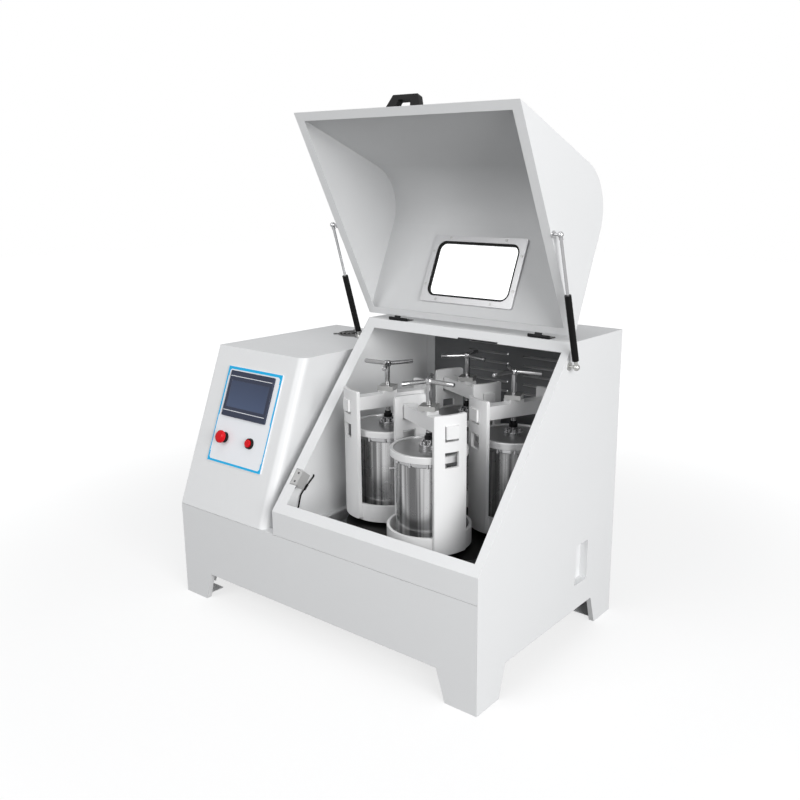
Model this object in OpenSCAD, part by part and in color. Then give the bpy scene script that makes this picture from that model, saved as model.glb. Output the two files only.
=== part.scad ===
// Floor-standing planetary ball mill: control cabinet on the left, milling chamber on the right,
// a hood hinged along the top edge of the sloped opening, and four clamped jars on a turntable.
// Built with the left side at x = 0, the front at y = 0 and the floor at z = 0, then centred.

/* [Body] */
// overall width of base, cabinet and chamber
body_w = 1150; // [1120:1:1180]
// overall depth, from the front skirt to the rear cover
body_d = 710; // [700:1:740]
// height of the chamber top above the floor
body_h = 882; // [872:1:892]
// height of the low front wall, where the sloped opening starts
low_wall_h = 372; // [364:1:380]
// distance from the front to where the slope meets the chamber top
slope_top_y = 422; // [416:1:430]
// height of the seam between the base and what stands on it
seam_h = 300; // [296:1:302]
// thickness of the sheet metal
sheet = 2; // [1.6:0.2:2.4]
// height of the shadow gap at the seam
seam_gap = 1.2; // [0.8:0.2:2]
// left side of the chamber
chamber_x = 426; // [420:1:430]
// width of the flat return around the inside of a shell
return_w = 20; // [16:1:22]

/* [Feet] */
// height of the feet under the skirt
foot_h = 90; // [70:1:92]
// width of a foot at the skirt
foot_top_w = 126; // [110:1:140]
// width of a foot at the floor
foot_bottom_w = 98; // [80:1:105]
// depth of the folded edge of a foot
foot_return = 16; // [10:1:22]
// side length of the sole plate of a foot
sole_w = 78; // [60:1:78]
// thickness of the sole plate
sole_t = 3; // [2:0.5:5]

/* [Chamber opening] */
// width of the rim on the left of the opening
rim_left = 40; // [34:1:42]
// width of the rim on the right of the opening
rim_right = 24; // [18:1:30]
// width of the rim along the top of the opening
rim_top = 33; // [28:1:38]
// width of the rim along the low wall
rim_bottom = 31; // [26:1:34]
// width of the notch for the lid lock in the top rim
lock_notch_w = 138; // [100:1:160]
// depth of that notch
lock_notch_d = 5; // [3:0.5:8]
// distance of the middle of that notch to the right of the middle of the chamber
lock_notch_off = 65; // [50:1:75]
// width of the notch in the left rim for the safety switch
switch_notch_w = 28; // [27:1:32]

/* [Side recess] */
// front edge of the grip recess in the right side
recess_y = 480; // [470:1:500]
// lower edge of the grip recess
recess_z = 166; // [150:1:175]
// width of the grip recess
recess_w = 70; // [60:1:80]
// height of the grip recess
recess_h = 120; // [100:1:125]
// depth of the grip recess
recess_d = 24; // [16:1:26]

/* [Rear cover] */
// thickness of the rear cover
cover_t = 2; // [1.5:0.5:3]
// margin of the service opening behind the rear cover
service_margin = 36; // [30:1:50]
// length of a louvre slot
louvre_w = 150; // [100:1:180]
// height of a louvre slot
louvre_h = 5; // [3:0.5:8]
// spacing of the louvre rows
louvre_pitch = 30; // [24:1:34]
// distance of the highest louvre row below the chamber top
louvre_down = 92; // [80:1:110]
// number of louvre rows
louvre_rows = 6; // [4:1:7]
// gap between the two louvre columns
louvre_gap = 60; // [40:1:90]

/* [Cabinet] */
// width of the control cabinet
cabinet_w = 384; // [370:1:390]
// height of the cabinet top above the floor
cabinet_h = 782; // [770:1:800]
// distance from the front to where the cabinet face meets its top
cabinet_face_y = 184; // [170:1:200]
// bend radius of the front right edge of the cabinet
cabinet_bend_r = 26; // [18:1:30]

/* [Control panel] */
// left edge of the control plate
plate_x = 71; // [64:1:74]
// lower edge of the control plate, measured up the cabinet face
plate_s = 153; // [140:1:160]
// width of the control plate
plate_w = 248; // [240:1:250]
// height of the control plate
plate_h = 304; // [298:1:320]
// thickness of the control plate
plate_t = 3; // [2:0.5:4]
// width of the touch screen bezel
screen_w = 198; // [192:1:204]
// height of the touch screen bezel
screen_h = 143; // [136:1:150]
// how far the bezel stands proud of the plate
screen_t = 5; // [4:0.5:8]
// width of the display
display_w = 172; // [168:1:176]
// height of the display
display_h = 84; // [78:1:90]
// depth of the screen body behind the plate
screen_depth = 32; // [25:1:40]
// lower edge of the bezel, measured up the cabinet face
screen_s = 300; // [296:1:304]
// left edge of the bezel
screen_x = 93; // [88:1:97]
// place of the emergency stop across the face
stop_x = 128; // [120:1:132]
// place of the start button across the face
start_x = 245; // [238:1:250]
// height of both buttons up the face
button_s = 234; // [226:1:240]
// radius of the emergency stop head
stop_r = 20; // [16:0.5:22]
// height of the emergency stop head
stop_head_h = 14; // [10:0.5:18]
// radius of the start button head
start_r = 12; // [9:0.5:13]
// height of the start button head above its collar
start_head_h = 5; // [5:0.5:9]
// radius of a button collar
collar_r = 17; // [16:0.5:19]
// height of a button collar
collar_h = 7; // [5:0.5:9]
// radius of the stem of a button
stem_r = 8; // [6:0.5:9]
// travel of a button
button_travel = 4; // [3:0.5:4]
// gap around a sliding button stem
button_gap = 0.05; // [0.03:0.01:0.1]

/* [Cabinet fan] */
// place of the fan across the cabinet
fan_x = 195; // [180:1:210]
// distance of the fan axis from the rear
fan_back = 107; // [100:1:120]
// side of the square fan frame
fan_w = 120; // [118:1:124]
// height of the fan frame
fan_h = 25; // [25:1:32]
// radius of the air passage
fan_bore_r = 56; // [54:0.5:57]
// radius of the fan hub
fan_hub_r = 21; // [18:0.5:24]
// reach of a fan blade from the axis
fan_blade_r = 53; // [50:0.5:53]
// radius of the fan pin
fan_pin_r = 3; // [2.5:0.5:4]
// width and height of a guard wire
guard_wire = 3; // [2.5:0.5:4]

/* [Turntable] */
// distance of the main axis to the right of the middle of the chamber
turn_off = 3; // [0:1:6]
// place of the main axis along the machine
turn_y = 357; // [354:1:360]
// distance of each jar axis from the main axis
station_r = 188; // [186:1:190]
// angle of the first jar station in the shown pose
turn_phase = 20.5; // [0:0.5:90]
// turn of each jar holder against the line to the main axis
holder_turn = 46; // [0:1:90]
// radius of the turntable
turntable_r = 300; // [290:1:306]
// height of the underside of the turntable
turntable_z = 306; // [304:1:308]
// thickness of the turntable
turntable_t = 20; // [18:1:21]
// radius of the main shaft
shaft_r = 25; // [22:1:28]
// radius of the flange of the main shaft
shaft_flange_r = 60; // [50:1:70]
// gap between a shaft and its bearing
bearing_gap = 0.05; // [0.02:0.01:0.1]

/* [Deck and bearing] */
// distance of the middle wall of the base from the chamber
divider_gap = 24; // [20:1:28]
// distance of the right rail from the right side
rail_in = 38; // [36:1:44]
// height of the top of the deck plate
deck_z = 246; // [240:1:246]
// thickness of the deck plate
deck_t = 6; // [5:1:8]
// outer radius of the main bearing housing
housing_r = 45; // [42:1:50]
// radius of the housing flange
housing_flange_r = 95; // [90:1:105]
// thickness of the housing flange
housing_flange_t = 8; // [6:1:9]
// length of the housing below the deck
housing_drop = 62; // [56:1:64]
// height of one bearing in the housing
bearing_h = 18; // [14:1:20]
// gap between the deck and the lowest pulley rim
pulley_lift = 12; // [12:1:14]

/* [Planet drive] */
// seat radius of the fixed sun pulley
sun_seat_r = 76; // [70:1:80]
// seat radius of a jar pulley
jar_seat_r = 36.6; // [32:0.2:40]
// height of a pulley rim above its seat
rim_step = 6; // [5.5:0.5:7]
// thickness of a pulley rim
rim_t = 3; // [2:0.5:3]
// height of a pulley seat
seat_h = 15; // [12:1:15]
// width of a planet belt
planet_belt_w = 14; // [10:1:14]
// thickness of a planet belt
planet_belt_t = 5; // [4:0.5:5.5]
// gap between a belt and its pulley seat
belt_gap = 0.3; // [0.3:0.05:0.6]
// radius of the jar spindle
spindle_r = 20; // [16:1:22]
// outer radius of a spindle bearing
spindle_bearing_r = 36; // [32:1:40]
// radius of the flange of a spindle bearing
spindle_flange_r = 50; // [46:1:56]

/* [Main drive] */
// place of the motor across the machine
motor_x = 250; // [240:1:280]
// radius of the motor body
motor_r = 72; // [65:1:80]
// height of the motor body
motor_h = 240; // [200:1:250]
// width of the terminal box on the motor
terminal_w = 60; // [50:1:70]
// height of the terminal box
terminal_h = 80; // [60:1:90]
// height of the lower face of the terminal box above the shelf
terminal_z = 70; // [60:1:80]
// length of the motor shaft inside the motor
motor_shaft_in = 60; // [50:1:70]
// height of the motor shelf
shelf_z = 204; // [200:1:210]
// thickness of the motor shelf
shelf_t = 8; // [6:1:10]
// radius of the motor shaft
motor_shaft_r = 12; // [10:1:14]
// seat radius of the large drive pulley
main_seat_r = 114; // [100:1:120]
// seat radius of the motor pulley
motor_seat_r = 44; // [40:1:50]
// height of the lower face of both drive pulleys
drive_pulley_z = 138; // [132:1:142]
// height of the seat of both drive pulleys
drive_seat_h = 22; // [20:1:24]
// width of the drive belt
drive_belt_w = 20; // [16:1:20]
// thickness of the drive belt
drive_belt_t = 5; // [4:0.5:6]

/* [Inverter] */
// width of the inverter
inverter_w = 140; // [120:1:150]
// depth of the inverter
inverter_d = 150; // [120:1:160]
// height of the inverter
inverter_h = 200; // [180:1:210]
// distance of the inverter below the cabinet top
inverter_down = 92; // [80:1:100]
// left face of the inverter
inverter_x = 40; // [30:1:50]
// number of cooling fins
fin_count = 7; // [5:1:9]

/* [Jar holder] */
// height of the bottom of the jar holder cup
cup_z = 336; // [334:1:338]
// thickness of the cup floor
cup_floor = 10; // [8:1:12]
// outer radius of the cup
cup_r = 116; // [114:1:117]
// wall of the cup ring
cup_wall = 8; // [6:0.5:9]
// height of the cup
cup_h = 50; // [42:1:56]
// distance of the outer face of the curved uprights from the cup
upright_off = 11; // [10:0.5:12]
// thickness of an upright
upright_t = 9; // [7:0.5:10]
// width of an upright
upright_w = 95; // [90:1:98]
// how far the uprights end above the bottom of the cup
upright_up = 5; // [3:0.5:8]
// height of the top of an upright
upright_z = 718; // [712:1:724]
// radius of the lower corners of an upright
upright_corner_r = 5; // [3:1:10]
// width of the windows in an upright
slot_w = 40; // [36:1:44]
// top of the upper window
slot_top_z = 690; // [686:1:694]
// height of a window
slot_h = 42; // [42:1:44]
// spacing of the two windows
slot_pitch = 70; // [66:1:76]

/* [Jar] */
// outer radius of the jar
jar_r = 90; // [84:1:92]
// wall of the jar
jar_wall = 6; // [4:0.5:8]
// thickness of the jar floor
jar_floor = 10; // [8:1:14]
// height of the jar
jar_h = 238; // [234:1:240]
// radius of the collar round the jar mouth
jar_collar_r = 94; // [93:0.5:96]
// height of that collar
jar_collar_h = 9; // [8:0.5:12]
// radius of the jar lid
jar_lid_r = 106; // [104:1:107]
// height of the edge of the jar lid
jar_lid_h = 19; // [16:1:20]
// depth of the sunk top of the jar lid
jar_lid_sink = 3; // [2:0.5:4]
// radius of the boss that takes the clamping force
boss_r = 27; // [24:1:30]
// height of the boss flange above the lid edge
boss_flange_h = 8; // [6:0.5:10]
// radius of the neck of the boss
boss_neck_r = 13; // [12:0.5:16]
// height of the whole boss above the lid edge
boss_h = 20; // [17:1:21]
// number of bolts round the collar
collar_bolts = 12; // [8:1:12]
// radius of a collar bolt
collar_bolt_r = 3.4; // [2.5:0.1:4]
// length of a collar bolt below the jar mouth
collar_bolt_h = 14; // [10:1:16]
// distance of the side peg below the jar mouth
peg_down = 39; // [24:1:44]
// how far the side peg stands out of the jar
peg_out = 17; // [10:1:20]
// angle of the side peg of the jar, as placed
peg_angle = 247; // [200:1:260]

/* [Clamp] */
// width of the cross-beam
beam_w = 36; // [34:1:38]
// height of the beam ends, which hang in the upper windows
beam_h = 34; // [32:1:38]
// how much higher the beam is between the uprights than at its ends
beam_rise = 4.5; // [2:0.5:8]
// gap between the uprights and the shoulders of the beam
beam_gap = 0.5; // [0.3:0.1:1]
// how far the beam ends stand out of the uprights
beam_out = 5; // [2:0.5:6]
// height of the pad that carries the nut
nut_pad_h = 14; // [10:1:16]
// side of the square nut
nut_w = 46; // [40:1:48]
// height of the square nut
nut_h = 13; // [10:1:14]
// radius of the clamp screw
screw_r = 7.5; // [6.5:0.5:9]
// gap between the screw and its thread
screw_gap = 0.05; // [0.03:0.01:0.1]
// height of the pressure pad
pad_h = 18; // [14:0.5:20]
// radius of the pressure pad
pad_r = 12.5; // [12:0.5:15]
// radius of the upper part of the pad
pad_top_r = 9; // [8.5:0.5:11]
// travel of the pad between clamped and free
pad_travel = 12; // [8:1:12]
// height of the middle of the star handle
star_z = 781; // [776:1:786]
// reach of a star handle arm
arm_len = 80; // [70:1:86]
// radius of a star handle arm
arm_r = 6.5; // [4.5:0.5:7]
// droop of the arms in degrees
arm_droop = 0.5; // [0:0.5:5]
// radius of the star hub
hub_r = 11.5; // [10:0.5:16]
// height of the star hub
hub_h = 17; // [15:1:24]
// turn of the first star handle
star_turn_1 = 71; // [0:1:120]
// turn of the second star handle
star_turn_2 = 68; // [0:1:120]
// turn of the third star handle
star_turn_3 = 58; // [0:1:120]
// turn of the fourth star handle
star_turn_4 = 27; // [0:1:120]

/* [Lid] */
// gap between the rims of lid and chamber when closed
lid_gap = 3; // [2.5:0.5:5]
// radius of the rounded corner of the lid
lid_corner_r = 130; // [110:1:140]
// distance of the low edge of the lid behind the front of the chamber
lid_back = 11; // [0:1:14]
// how far the front of the lid leans out, in degrees
lid_lean = 2.5; // [0:0.5:3]
// how far the lid is swung open in the shown pose
lid_open = 113.8; // [100:0.2:114]
// width of the lid rim at the sides
lid_rim_side = 27; // [22:1:30]
// width of the lid rim at the hinge edge
lid_rim_end = 26; // [22:1:30]
// width of the lid rim at the low edge
lid_rim_low = 28; // [22:1:29]
// height of the hinge axis above the chamber top
hinge_up = 5.2; // [5:0.1:6]
// distance of the hinge axis behind the top edge of the slope
hinge_back = 5; // [4.5:0.5:7]
// radius of the hinge barrel
barrel_r = 4.8; // [4:0.1:4.8]
// radius of the hinge pin
hinge_pin_r = 2; // [1.5:0.1:2.5]
// gap around the hinge pin
hinge_gap = 0.05; // [0.03:0.01:0.1]
// gap between hinge knuckles
knuckle_gap = 0.3; // [0.2:0.05:0.5]
// width of a hinge
hinge_w = 66; // [60:1:72]
// thickness of a hinge leaf
leaf_t = 2.2; // [2:0.1:3]
// length of a hinge leaf
leaf_len = 34; // [26:1:40]
// distance of the left hinge from the left side of the chamber
hinge_left_in = 81; // [69:1:94]
// distance of the right hinge from the right side of the chamber
hinge_right_in = 78; // [64:1:94]

/* [Lid window] */
// distance of the middle of the window to the left of the middle of the chamber
window_off = 10; // [-8:1:18]
// distance of the middle of the window from the hinge edge
window_s = 156; // [150:1:160]
// clear width of the window
window_w = 278; // [260:1:286]
// clear height of the window
window_h = 158; // [150:1:164]
// corner radius of the clear window
window_r = 22; // [16:1:28]
// visible width of the rubber around the pane
gasket_show = 6; // [5:0.5:8]
// width of the rubber hidden under the frame
gasket_hide = 6; // [4:0.5:7]
// thickness of the pane
pane_t = 4; // [4:0.5:5]
// how deep the pane edge sits in the rubber
pane_bite = 8; // [6:0.5:9]
// width of the window frame outside the rubber
frame_side = 12; // [10:1:16]
// thickness of the window frame
frame_t = 8; // [8:0.5:9]
// radius of the frame screw heads
frame_screw_r = 4; // [3:0.5:4.5]

/* [Lid handle] */
// distance of the middle of the handle to the right of the middle of the chamber
handle_off = 10; // [0:1:22]
// width of the handle at its feet
handle_w = 114; // [100:1:124]
// reach of the handle from the lid
handle_out = 37; // [32:1:42]
// thickness of the grip bar
handle_bar = 13; // [10:1:15]
// width of a handle foot
handle_foot = 30; // [24:1:32]
// depth of the handle along the lid
handle_d = 18; // [14:1:22]
// distance of the handle from the lid edge
handle_up = 12; // [8:1:16]

/* [Gas struts] */
// distance of the strut axis from the side of the machine
strut_off = 22; // [20:0.5:24]
// distance of the lower ball in front of the top of the slope
strut_low_fore = 20; // [16:1:24]
// distance of the lower ball below the chamber top
strut_low_down = 60; // [56:1:64]
// distance of the upper ball in front of the hinge axis, with the lid open
strut_top_fore = 129; // [125:1:133]
// distance of the upper ball above the hinge axis, with the lid open
strut_top_up = 279.8; // [275.8:1:284.8]
// radius of the strut tube
tube_r = 9; // [8:0.5:10]
// length of the strut tube
tube_len = 182; // [176:1:186]
// distance from the lower ball to the tube
tube_start = 20; // [18:1:22]
// wall of the strut tube
tube_wall = 2; // [1.5:0.5:2.5]
// length of the guide at the mouth of the tube
guide_len = 12; // [10:1:16]
// radius of the strut rod
rod_r = 4; // [3.5:0.5:5]
// gap between the rod and its guide
rod_gap = 0.05; // [0.03:0.01:0.1]
// radius of a ball
ball_r = 6; // [5:0.5:6.5]
// gap between a ball and its socket
ball_gap = 0.3; // [0.3:0.05:0.5]
// outer radius of a socket
socket_r = 9.5; // [9:0.5:10]
// radius of the neck of a ball stud
neck_r = 3.5; // [3:0.5:4]
// radius of the foot of a ball stud
stud_foot_r = 11; // [9:0.5:12]
// thickness of the foot of a ball stud
stud_foot_t = 3; // [2:0.5:4]
// gap between the upper stud foot and the lid
stud_gap = 0.3; // [0.3:0.05:0.6]

/* [Safety switch] */
// distance of the switch up the slope from the low edge
switch_s = 92; // [84:1:100]
// length of the switch along the slope
switch_len = 46; // [40:1:50]
// depth of the switch below the rim
switch_d = 34; // [28:1:38]
// width of the switch
switch_w = 38; // [34:1:39]
// how far the switch sits below the rim face
switch_sink = 0.5; // [0.5:0.5:2]
// radius of the switch lead
lead_r = 2.2; // [2:0.1:2.4]
// gap between the lead and its holes in the wall
lead_gap = 1.2; // [1:0.1:1.6]
// radius of the lid rest button on the rim
rest_r = 5.5; // [4:0.5:6]
// height of the lid rest button
rest_h = 2; // [1.5:0.5:2]

/* [Mains inlet] */
// place of the mains inlet across the machine
inlet_x = 120; // [100:1:140]
// height of the middle of the mains inlet
inlet_z = 200; // [180:1:220]
// width of the mains inlet flange
inlet_w = 60; // [50:1:70]
// height of the mains inlet flange
inlet_h = 50; // [40:1:56]

/* [Hidden] */
$fn = 40;
shell_d = body_d - cover_t;
slope_a = atan2(body_h - low_wall_h, slope_top_y);
slope_len = norm([slope_top_y, body_h - low_wall_h]);
face_a = atan2(cabinet_h - seam_h, cabinet_face_y);
skirt_top = seam_h - seam_gap;
chamber_w = body_w - chamber_x;
chamber_mid = chamber_x + chamber_w / 2;
turn_x = chamber_mid + turn_off;
window_x = chamber_mid - window_off;
handle_x = chamber_mid + handle_off;
lock_notch_x = chamber_mid + lock_notch_off - lock_notch_w / 2;
louvre_z = body_h - louvre_down - (louvre_rows - 1) * louvre_pitch;
fan_y = body_d - fan_back;
inverter_z = cabinet_h - inverter_down - inverter_h;
hinge_y = slope_top_y + hinge_back;
hinge_z = body_h + hinge_up;
hinge_left_x = chamber_x + hinge_left_in;
hinge_right_x = body_w - hinge_right_in - hinge_w;
strut_low_y = slope_top_y - strut_low_fore;
strut_low_z = body_h - strut_low_down;
strut_top_y = hinge_y - strut_top_fore;
strut_top_z = hinge_z + strut_top_up;
lid_low_z = low_wall_h + lid_gap / cos(slope_a);
lid_edge_y = slope_top_y - lid_gap / sin(slope_a);
lid_front_z = lid_low_z + lid_back * tan(slope_a);
lid_bend_z = body_h - lid_corner_r;
lid_bend_y = lid_back + (lid_corner_r - sin(lid_lean) * (lid_bend_z - lid_front_z)) / cos(lid_lean);
plate_mid_x = screen_x + screen_w / 2;
plate_mid_s = screen_s + screen_h / 2;
lead_clear_r = lead_r + lead_gap;
// belt levels above the deck
level_h = rim_t + seat_h;
level_z1 = deck_z + pulley_lift;
level_z2 = level_z1 + level_h;
sun_top = level_z2 + level_h + rim_t;
turntable_top = turntable_z + turntable_t;
upright_r = cup_r + upright_off;
jar_z = cup_z + cup_floor;
jar_top = jar_z + jar_h;
lid_top = jar_top + jar_lid_h;
boss_top = lid_top + boss_h;
beam_z = slot_top_z - beam_h;
nut_z = slot_top_z + nut_pad_h;
star_turns = [star_turn_1, star_turn_2, star_turn_3, star_turn_4];
strut_len = norm([strut_top_y - strut_low_y, strut_top_z - strut_low_z]);
strut_a = atan2(strut_top_z - strut_low_z, strut_top_y - strut_low_y);
strut_reach = strut_off + socket_r;
rod_inside = 26;
divider_x = chamber_x - divider_gap;
rail_right_x = body_w - rail_in;
// route of the safety switch lead along the chamber wall
lead_path = [[chamber_x + 0.4, 164, 436], [chamber_x + 3.4, 164, 436], [chamber_x + 6, 160, 433.6],
    [chamber_x + 8, 138, 420], [chamber_x + 9, 116, 405], [chamber_x + 8, 105, 392],
    [chamber_x + 7, 99, 372], [chamber_x + 6, 96.4, 358], [chamber_x + 3.4, 96, 353],
    [chamber_x + 0.4, 96, 353]];

// moves the whole machine so that the middle of its footprint is at the origin
module centred() {
    translate([-(body_w + strut_reach) / 2, -body_d / 2, 0]) children();
}
// a profile given as y and z, drawn out along x from x0 to x1
module along_x(x0, x1, points) {
    translate([x0, 0, 0]) rotate([90, 0, 90]) linear_extrude(x1 - x0) polygon(points);
}
// a box between two corners
module box(a, b) {
    translate(a) cube(b - a);
}
// a flat plate with rounded corners, centred in x and y
module round_plate(w, h, t, r) {
    linear_extrude(t) offset(r) square([w - 2 * r, h - 2 * r], center = true);
}
// frame of the sloped chamber opening: x across, y up the slope, z outwards
module on_slope() {
    translate([0, 0, low_wall_h]) rotate([slope_a, 0, 0]) children();
}
// frame of the cabinet face: x across, y up the face, z outwards
module on_face() {
    translate([0, 0, seam_h]) rotate([face_a, 0, 0]) children();
}
// swings a piece of the closed lid to the shown open pose
module opened() {
    translate([0, hinge_y, hinge_z]) rotate([-lid_open, 0, 0])
        translate([0, -hinge_y, -hinge_z]) children();
}
// places a piece of jar station k
module station(k) {
    translate([turn_x, turn_y, 0]) rotate(turn_phase + 90 * (k - 1))
        translate([station_r, 0, 0]) rotate(holder_turn) children();
}
module ring(r_out, r_in, h) {
    difference() {
        cylinder(r = r_out, h = h);
        translate([0, 0, -1]) cylinder(r = r_in, h = h + 2);
    }
}
// one pulley: a seat with a rim below and above
module pulley(seat_r, height, rim) {
    cylinder(r = seat_r + rim_step, h = rim);
    cylinder(r = seat_r, h = 2 * rim + height);
    translate([0, 0, rim + height]) cylinder(r = seat_r + rim_step, h = rim);
}
// the trapezoidal face of a foot with its folded edge, corner at the origin, running along x
module foot_face(fold_top = foot_h + 1) {
    translate([0, sheet, 0]) rotate([90, 0, 0]) linear_extrude(sheet)
        polygon([[0, 0], [foot_bottom_w, 0], [foot_top_w, foot_h + 1], [0, foot_h + 1]]);
    translate([0, foot_return, 0]) rotate([90, 0, 0]) linear_extrude(foot_return)
        intersection() {
            polygon([[foot_bottom_w - sheet, 0], [foot_bottom_w, 0],
                [foot_top_w, foot_h + 1], [foot_top_w - sheet, foot_h + 1]]);
            square([foot_top_w, fold_top]);
        }
}

module base_frame() color("gainsboro") {
    right = body_w - sheet;
    difference() {
        box([0, 0, foot_h], [right, shell_d, skirt_top]);
        box([sheet, sheet, foot_h + sheet], [right - sheet, shell_d - sheet, skirt_top + 1]);
        box([right - recess_d - 1, recess_y - 4, recess_z - 4],
            [right + 1, recess_y + recess_w + 4, skirt_top + 1]);
        translate([inlet_x, shell_d - sheet - 1, inlet_z])
            box([-inlet_w / 2 + 6, 0, -inlet_h / 2 + 6],
                [inlet_w / 2 - 6, sheet + 2, inlet_h / 2 - 6]);
    }
    // ledge that carries cabinet and chamber
    difference() {
        box([3, 3, seam_h - 4], [right - 1, shell_d - 3, seam_h]);
        box([sheet + return_w, sheet + return_w, 0],
            [cabinet_w - sheet - return_w, shell_d - sheet - return_w, body_h]);
        box([chamber_x + sheet + return_w, sheet + return_w, 0],
            [body_w - sheet - return_w, shell_d - sheet - return_w, body_h]);
        box([right - recess_d - 4, recess_y - 4, 0],
            [right + 1, recess_y + recess_w + 4, body_h]);
    }
    // rails under the deck plate
    difference() {
        box([divider_x, sheet, foot_h + sheet], [divider_x + sheet, shell_d - sheet, seam_h - 4]);
        box([divider_x - 1, turn_y - 95, drive_pulley_z - 6],
            [divider_x + sheet + 1, turn_y + 95, drive_pulley_z + drive_seat_h + 14]);
    }
    box([divider_x, sheet, deck_z - deck_t - sheet],
        [divider_x + 26, shell_d - sheet, deck_z - deck_t]);
    box([rail_right_x - sheet, sheet, foot_h + sheet],
        [rail_right_x, shell_d - sheet, deck_z - deck_t]);
    box([rail_right_x - 26, sheet, deck_z - deck_t - sheet],
        [rail_right_x, shell_d - sheet, deck_z - deck_t]);
    // motor shelf
    difference() {
        box([sheet, turn_y - 110, shelf_z - shelf_t], [divider_x, turn_y + 110, shelf_z]);
        translate([motor_x, turn_y, shelf_z - shelf_t - 1])
            cylinder(r = motor_shaft_r + 12, h = shelf_t + 2);
    }
    // feet on the front, left and rear faces
    foot_face();
    translate([right, 0, 0]) mirror([1, 0, 0]) foot_face();
    translate([0, shell_d, 0]) mirror([0, 1, 0]) foot_face();
    translate([right, shell_d, 0]) mirror([1, 0, 0]) mirror([0, 1, 0]) foot_face();
    mirror([1, -1, 0]) foot_face();
    translate([0, shell_d, 0]) mirror([0, 1, 0]) mirror([1, -1, 0]) foot_face();
    box([0, 0, 0], [sole_w, sole_w, sole_t]);
    box([right - sole_w, 0, 0], [right, sole_w, sole_t]);
    box([0, shell_d - sole_w, 0], [sole_w, shell_d, sole_t]);
    box([right - sole_w, shell_d - sole_w, 0], [right, shell_d, sole_t]);
}

module chamber_shell() color("white") {
    s = sheet;
    open_x0 = chamber_x + rim_left;
    open_x1 = body_w - rim_right;
    back_in = s / tan(90 - slope_a / 2);
    difference() {
        union() {
            along_x(chamber_x, body_w, [[0, seam_h], [0, low_wall_h], [slope_top_y, body_h],
                [shell_d, body_h], [shell_d, seam_h]]);
            box([body_w - s, 0, foot_h], [body_w, shell_d, seam_h + 1]);
        }
        // hollow
        along_x(chamber_x + s, body_w - s, [[s, seam_h + s],
            [s, low_wall_h - s / tan(45 + slope_a / 2)],
            [slope_top_y + back_in, body_h - s],
            [shell_d - s, body_h - s], [shell_d - s, seam_h + s]]);
        // open floor
        box([chamber_x + s + return_w, s + return_w, seam_h - 1],
            [body_w - s - return_w, shell_d - s - return_w, seam_h + s + 1]);
        // sloped mouth
        on_slope() box([open_x0, rim_bottom, -s - 3], [open_x1, slope_len - rim_top, 3]);
        on_slope() box([lock_notch_x, slope_len - rim_top - 1, -s - 3],
            [lock_notch_x + lock_notch_w, slope_len - rim_top + lock_notch_d, 3]);
        on_slope() box([open_x0 - switch_notch_w, switch_s - 2, -s - 3],
            [open_x0 + 1, switch_s + switch_len + 2, 3]);
        // service opening behind the rear cover
        box([chamber_x + service_margin, shell_d - s - 1, seam_h + service_margin],
            [body_w - service_margin, shell_d + 1, body_h - service_margin]);
        // holes for the switch lead
        for (p = [lead_path[0], lead_path[9]])
            translate([chamber_x - 1, p[1], p[2]]) rotate([0, 90, 0])
                cylinder(r = lead_clear_r, h = s + 2, $fn = 16);
        // grip recess
        box([body_w - recess_d, recess_y, recess_z],
            [body_w + 1, recess_y + recess_w, recess_z + recess_h]);
    }
    // walls of the grip recess
    difference() {
        box([body_w - recess_d - s, recess_y - s, recess_z - s],
            [body_w - 0.5, recess_y + recess_w + s, recess_z + recess_h + s]);
        box([body_w - recess_d, recess_y, recess_z],
            [body_w + 1, recess_y + recess_w, recess_z + recess_h]);
    }
    // feet of the right side, whose folded edges end just under the base
    translate([body_w, 0, 0]) rotate(90) foot_face(foot_h - 0.3);
    translate([body_w, shell_d, 0]) mirror([0, 1, 0]) rotate(90) foot_face(foot_h - 0.3);
    // rest button for the lid
    on_slope() translate([chamber_x + 7, switch_s + switch_len / 2 + 4, -0.5])
        cylinder(r = rest_r, h = rest_h + 0.5, $fn = 20);
}

// the cabinet outline, shrunk by a wall thickness
module cabinet_solid(in) {
    reach = body_d + cabinet_h;
    intersection() {
        along_x(in, cabinet_w - in, [[in / sin(face_a), seam_h],
            [cabinet_face_y + in / tan(45 + (90 - face_a) / 2) , cabinet_h - in],
            [shell_d - in, cabinet_h - in], [shell_d - in, seam_h]]);
        on_face() translate([0, -reach, -in]) rotate([-90, 0, 0]) linear_extrude(2 * reach)
            translate([in, 0]) union() {
                square([cabinet_w - in - cabinet_bend_r, reach]);
                translate([0, cabinet_bend_r - in]) square([cabinet_w - 2 * in, reach]);
                translate([cabinet_w - in - cabinet_bend_r, cabinet_bend_r - in])
                    circle(cabinet_bend_r - in, $fn = 48);
            }
    }
}
module control_cabinet() color("white") {
    s = sheet;
    difference() {
        cabinet_solid(0);
        intersection() {
            cabinet_solid(s);
            box([0, 0, seam_h + s], [cabinet_w, body_d, cabinet_h]);
        }
        box([s + return_w, s + return_w, seam_h - 1],
            [cabinet_w - s - return_w, shell_d - s - return_w, seam_h + s + 1]);
        // openings in the face
        on_face() {
            translate([0, 0, -s - 3]) {
                box([screen_x + 12, screen_s + 12, 0],
                    [screen_x + screen_w - 12, screen_s + screen_h - 12, s + 6]);
                translate([stop_x, button_s, 0]) cylinder(r = stem_r + 4, h = s + 6);
                translate([start_x, button_s, 0]) cylinder(r = stem_r + 4, h = s + 6);
            }
        }
        translate([fan_x, fan_y, cabinet_h - s - 1]) cylinder(r = fan_bore_r, h = s + 2);
    }
}

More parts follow.
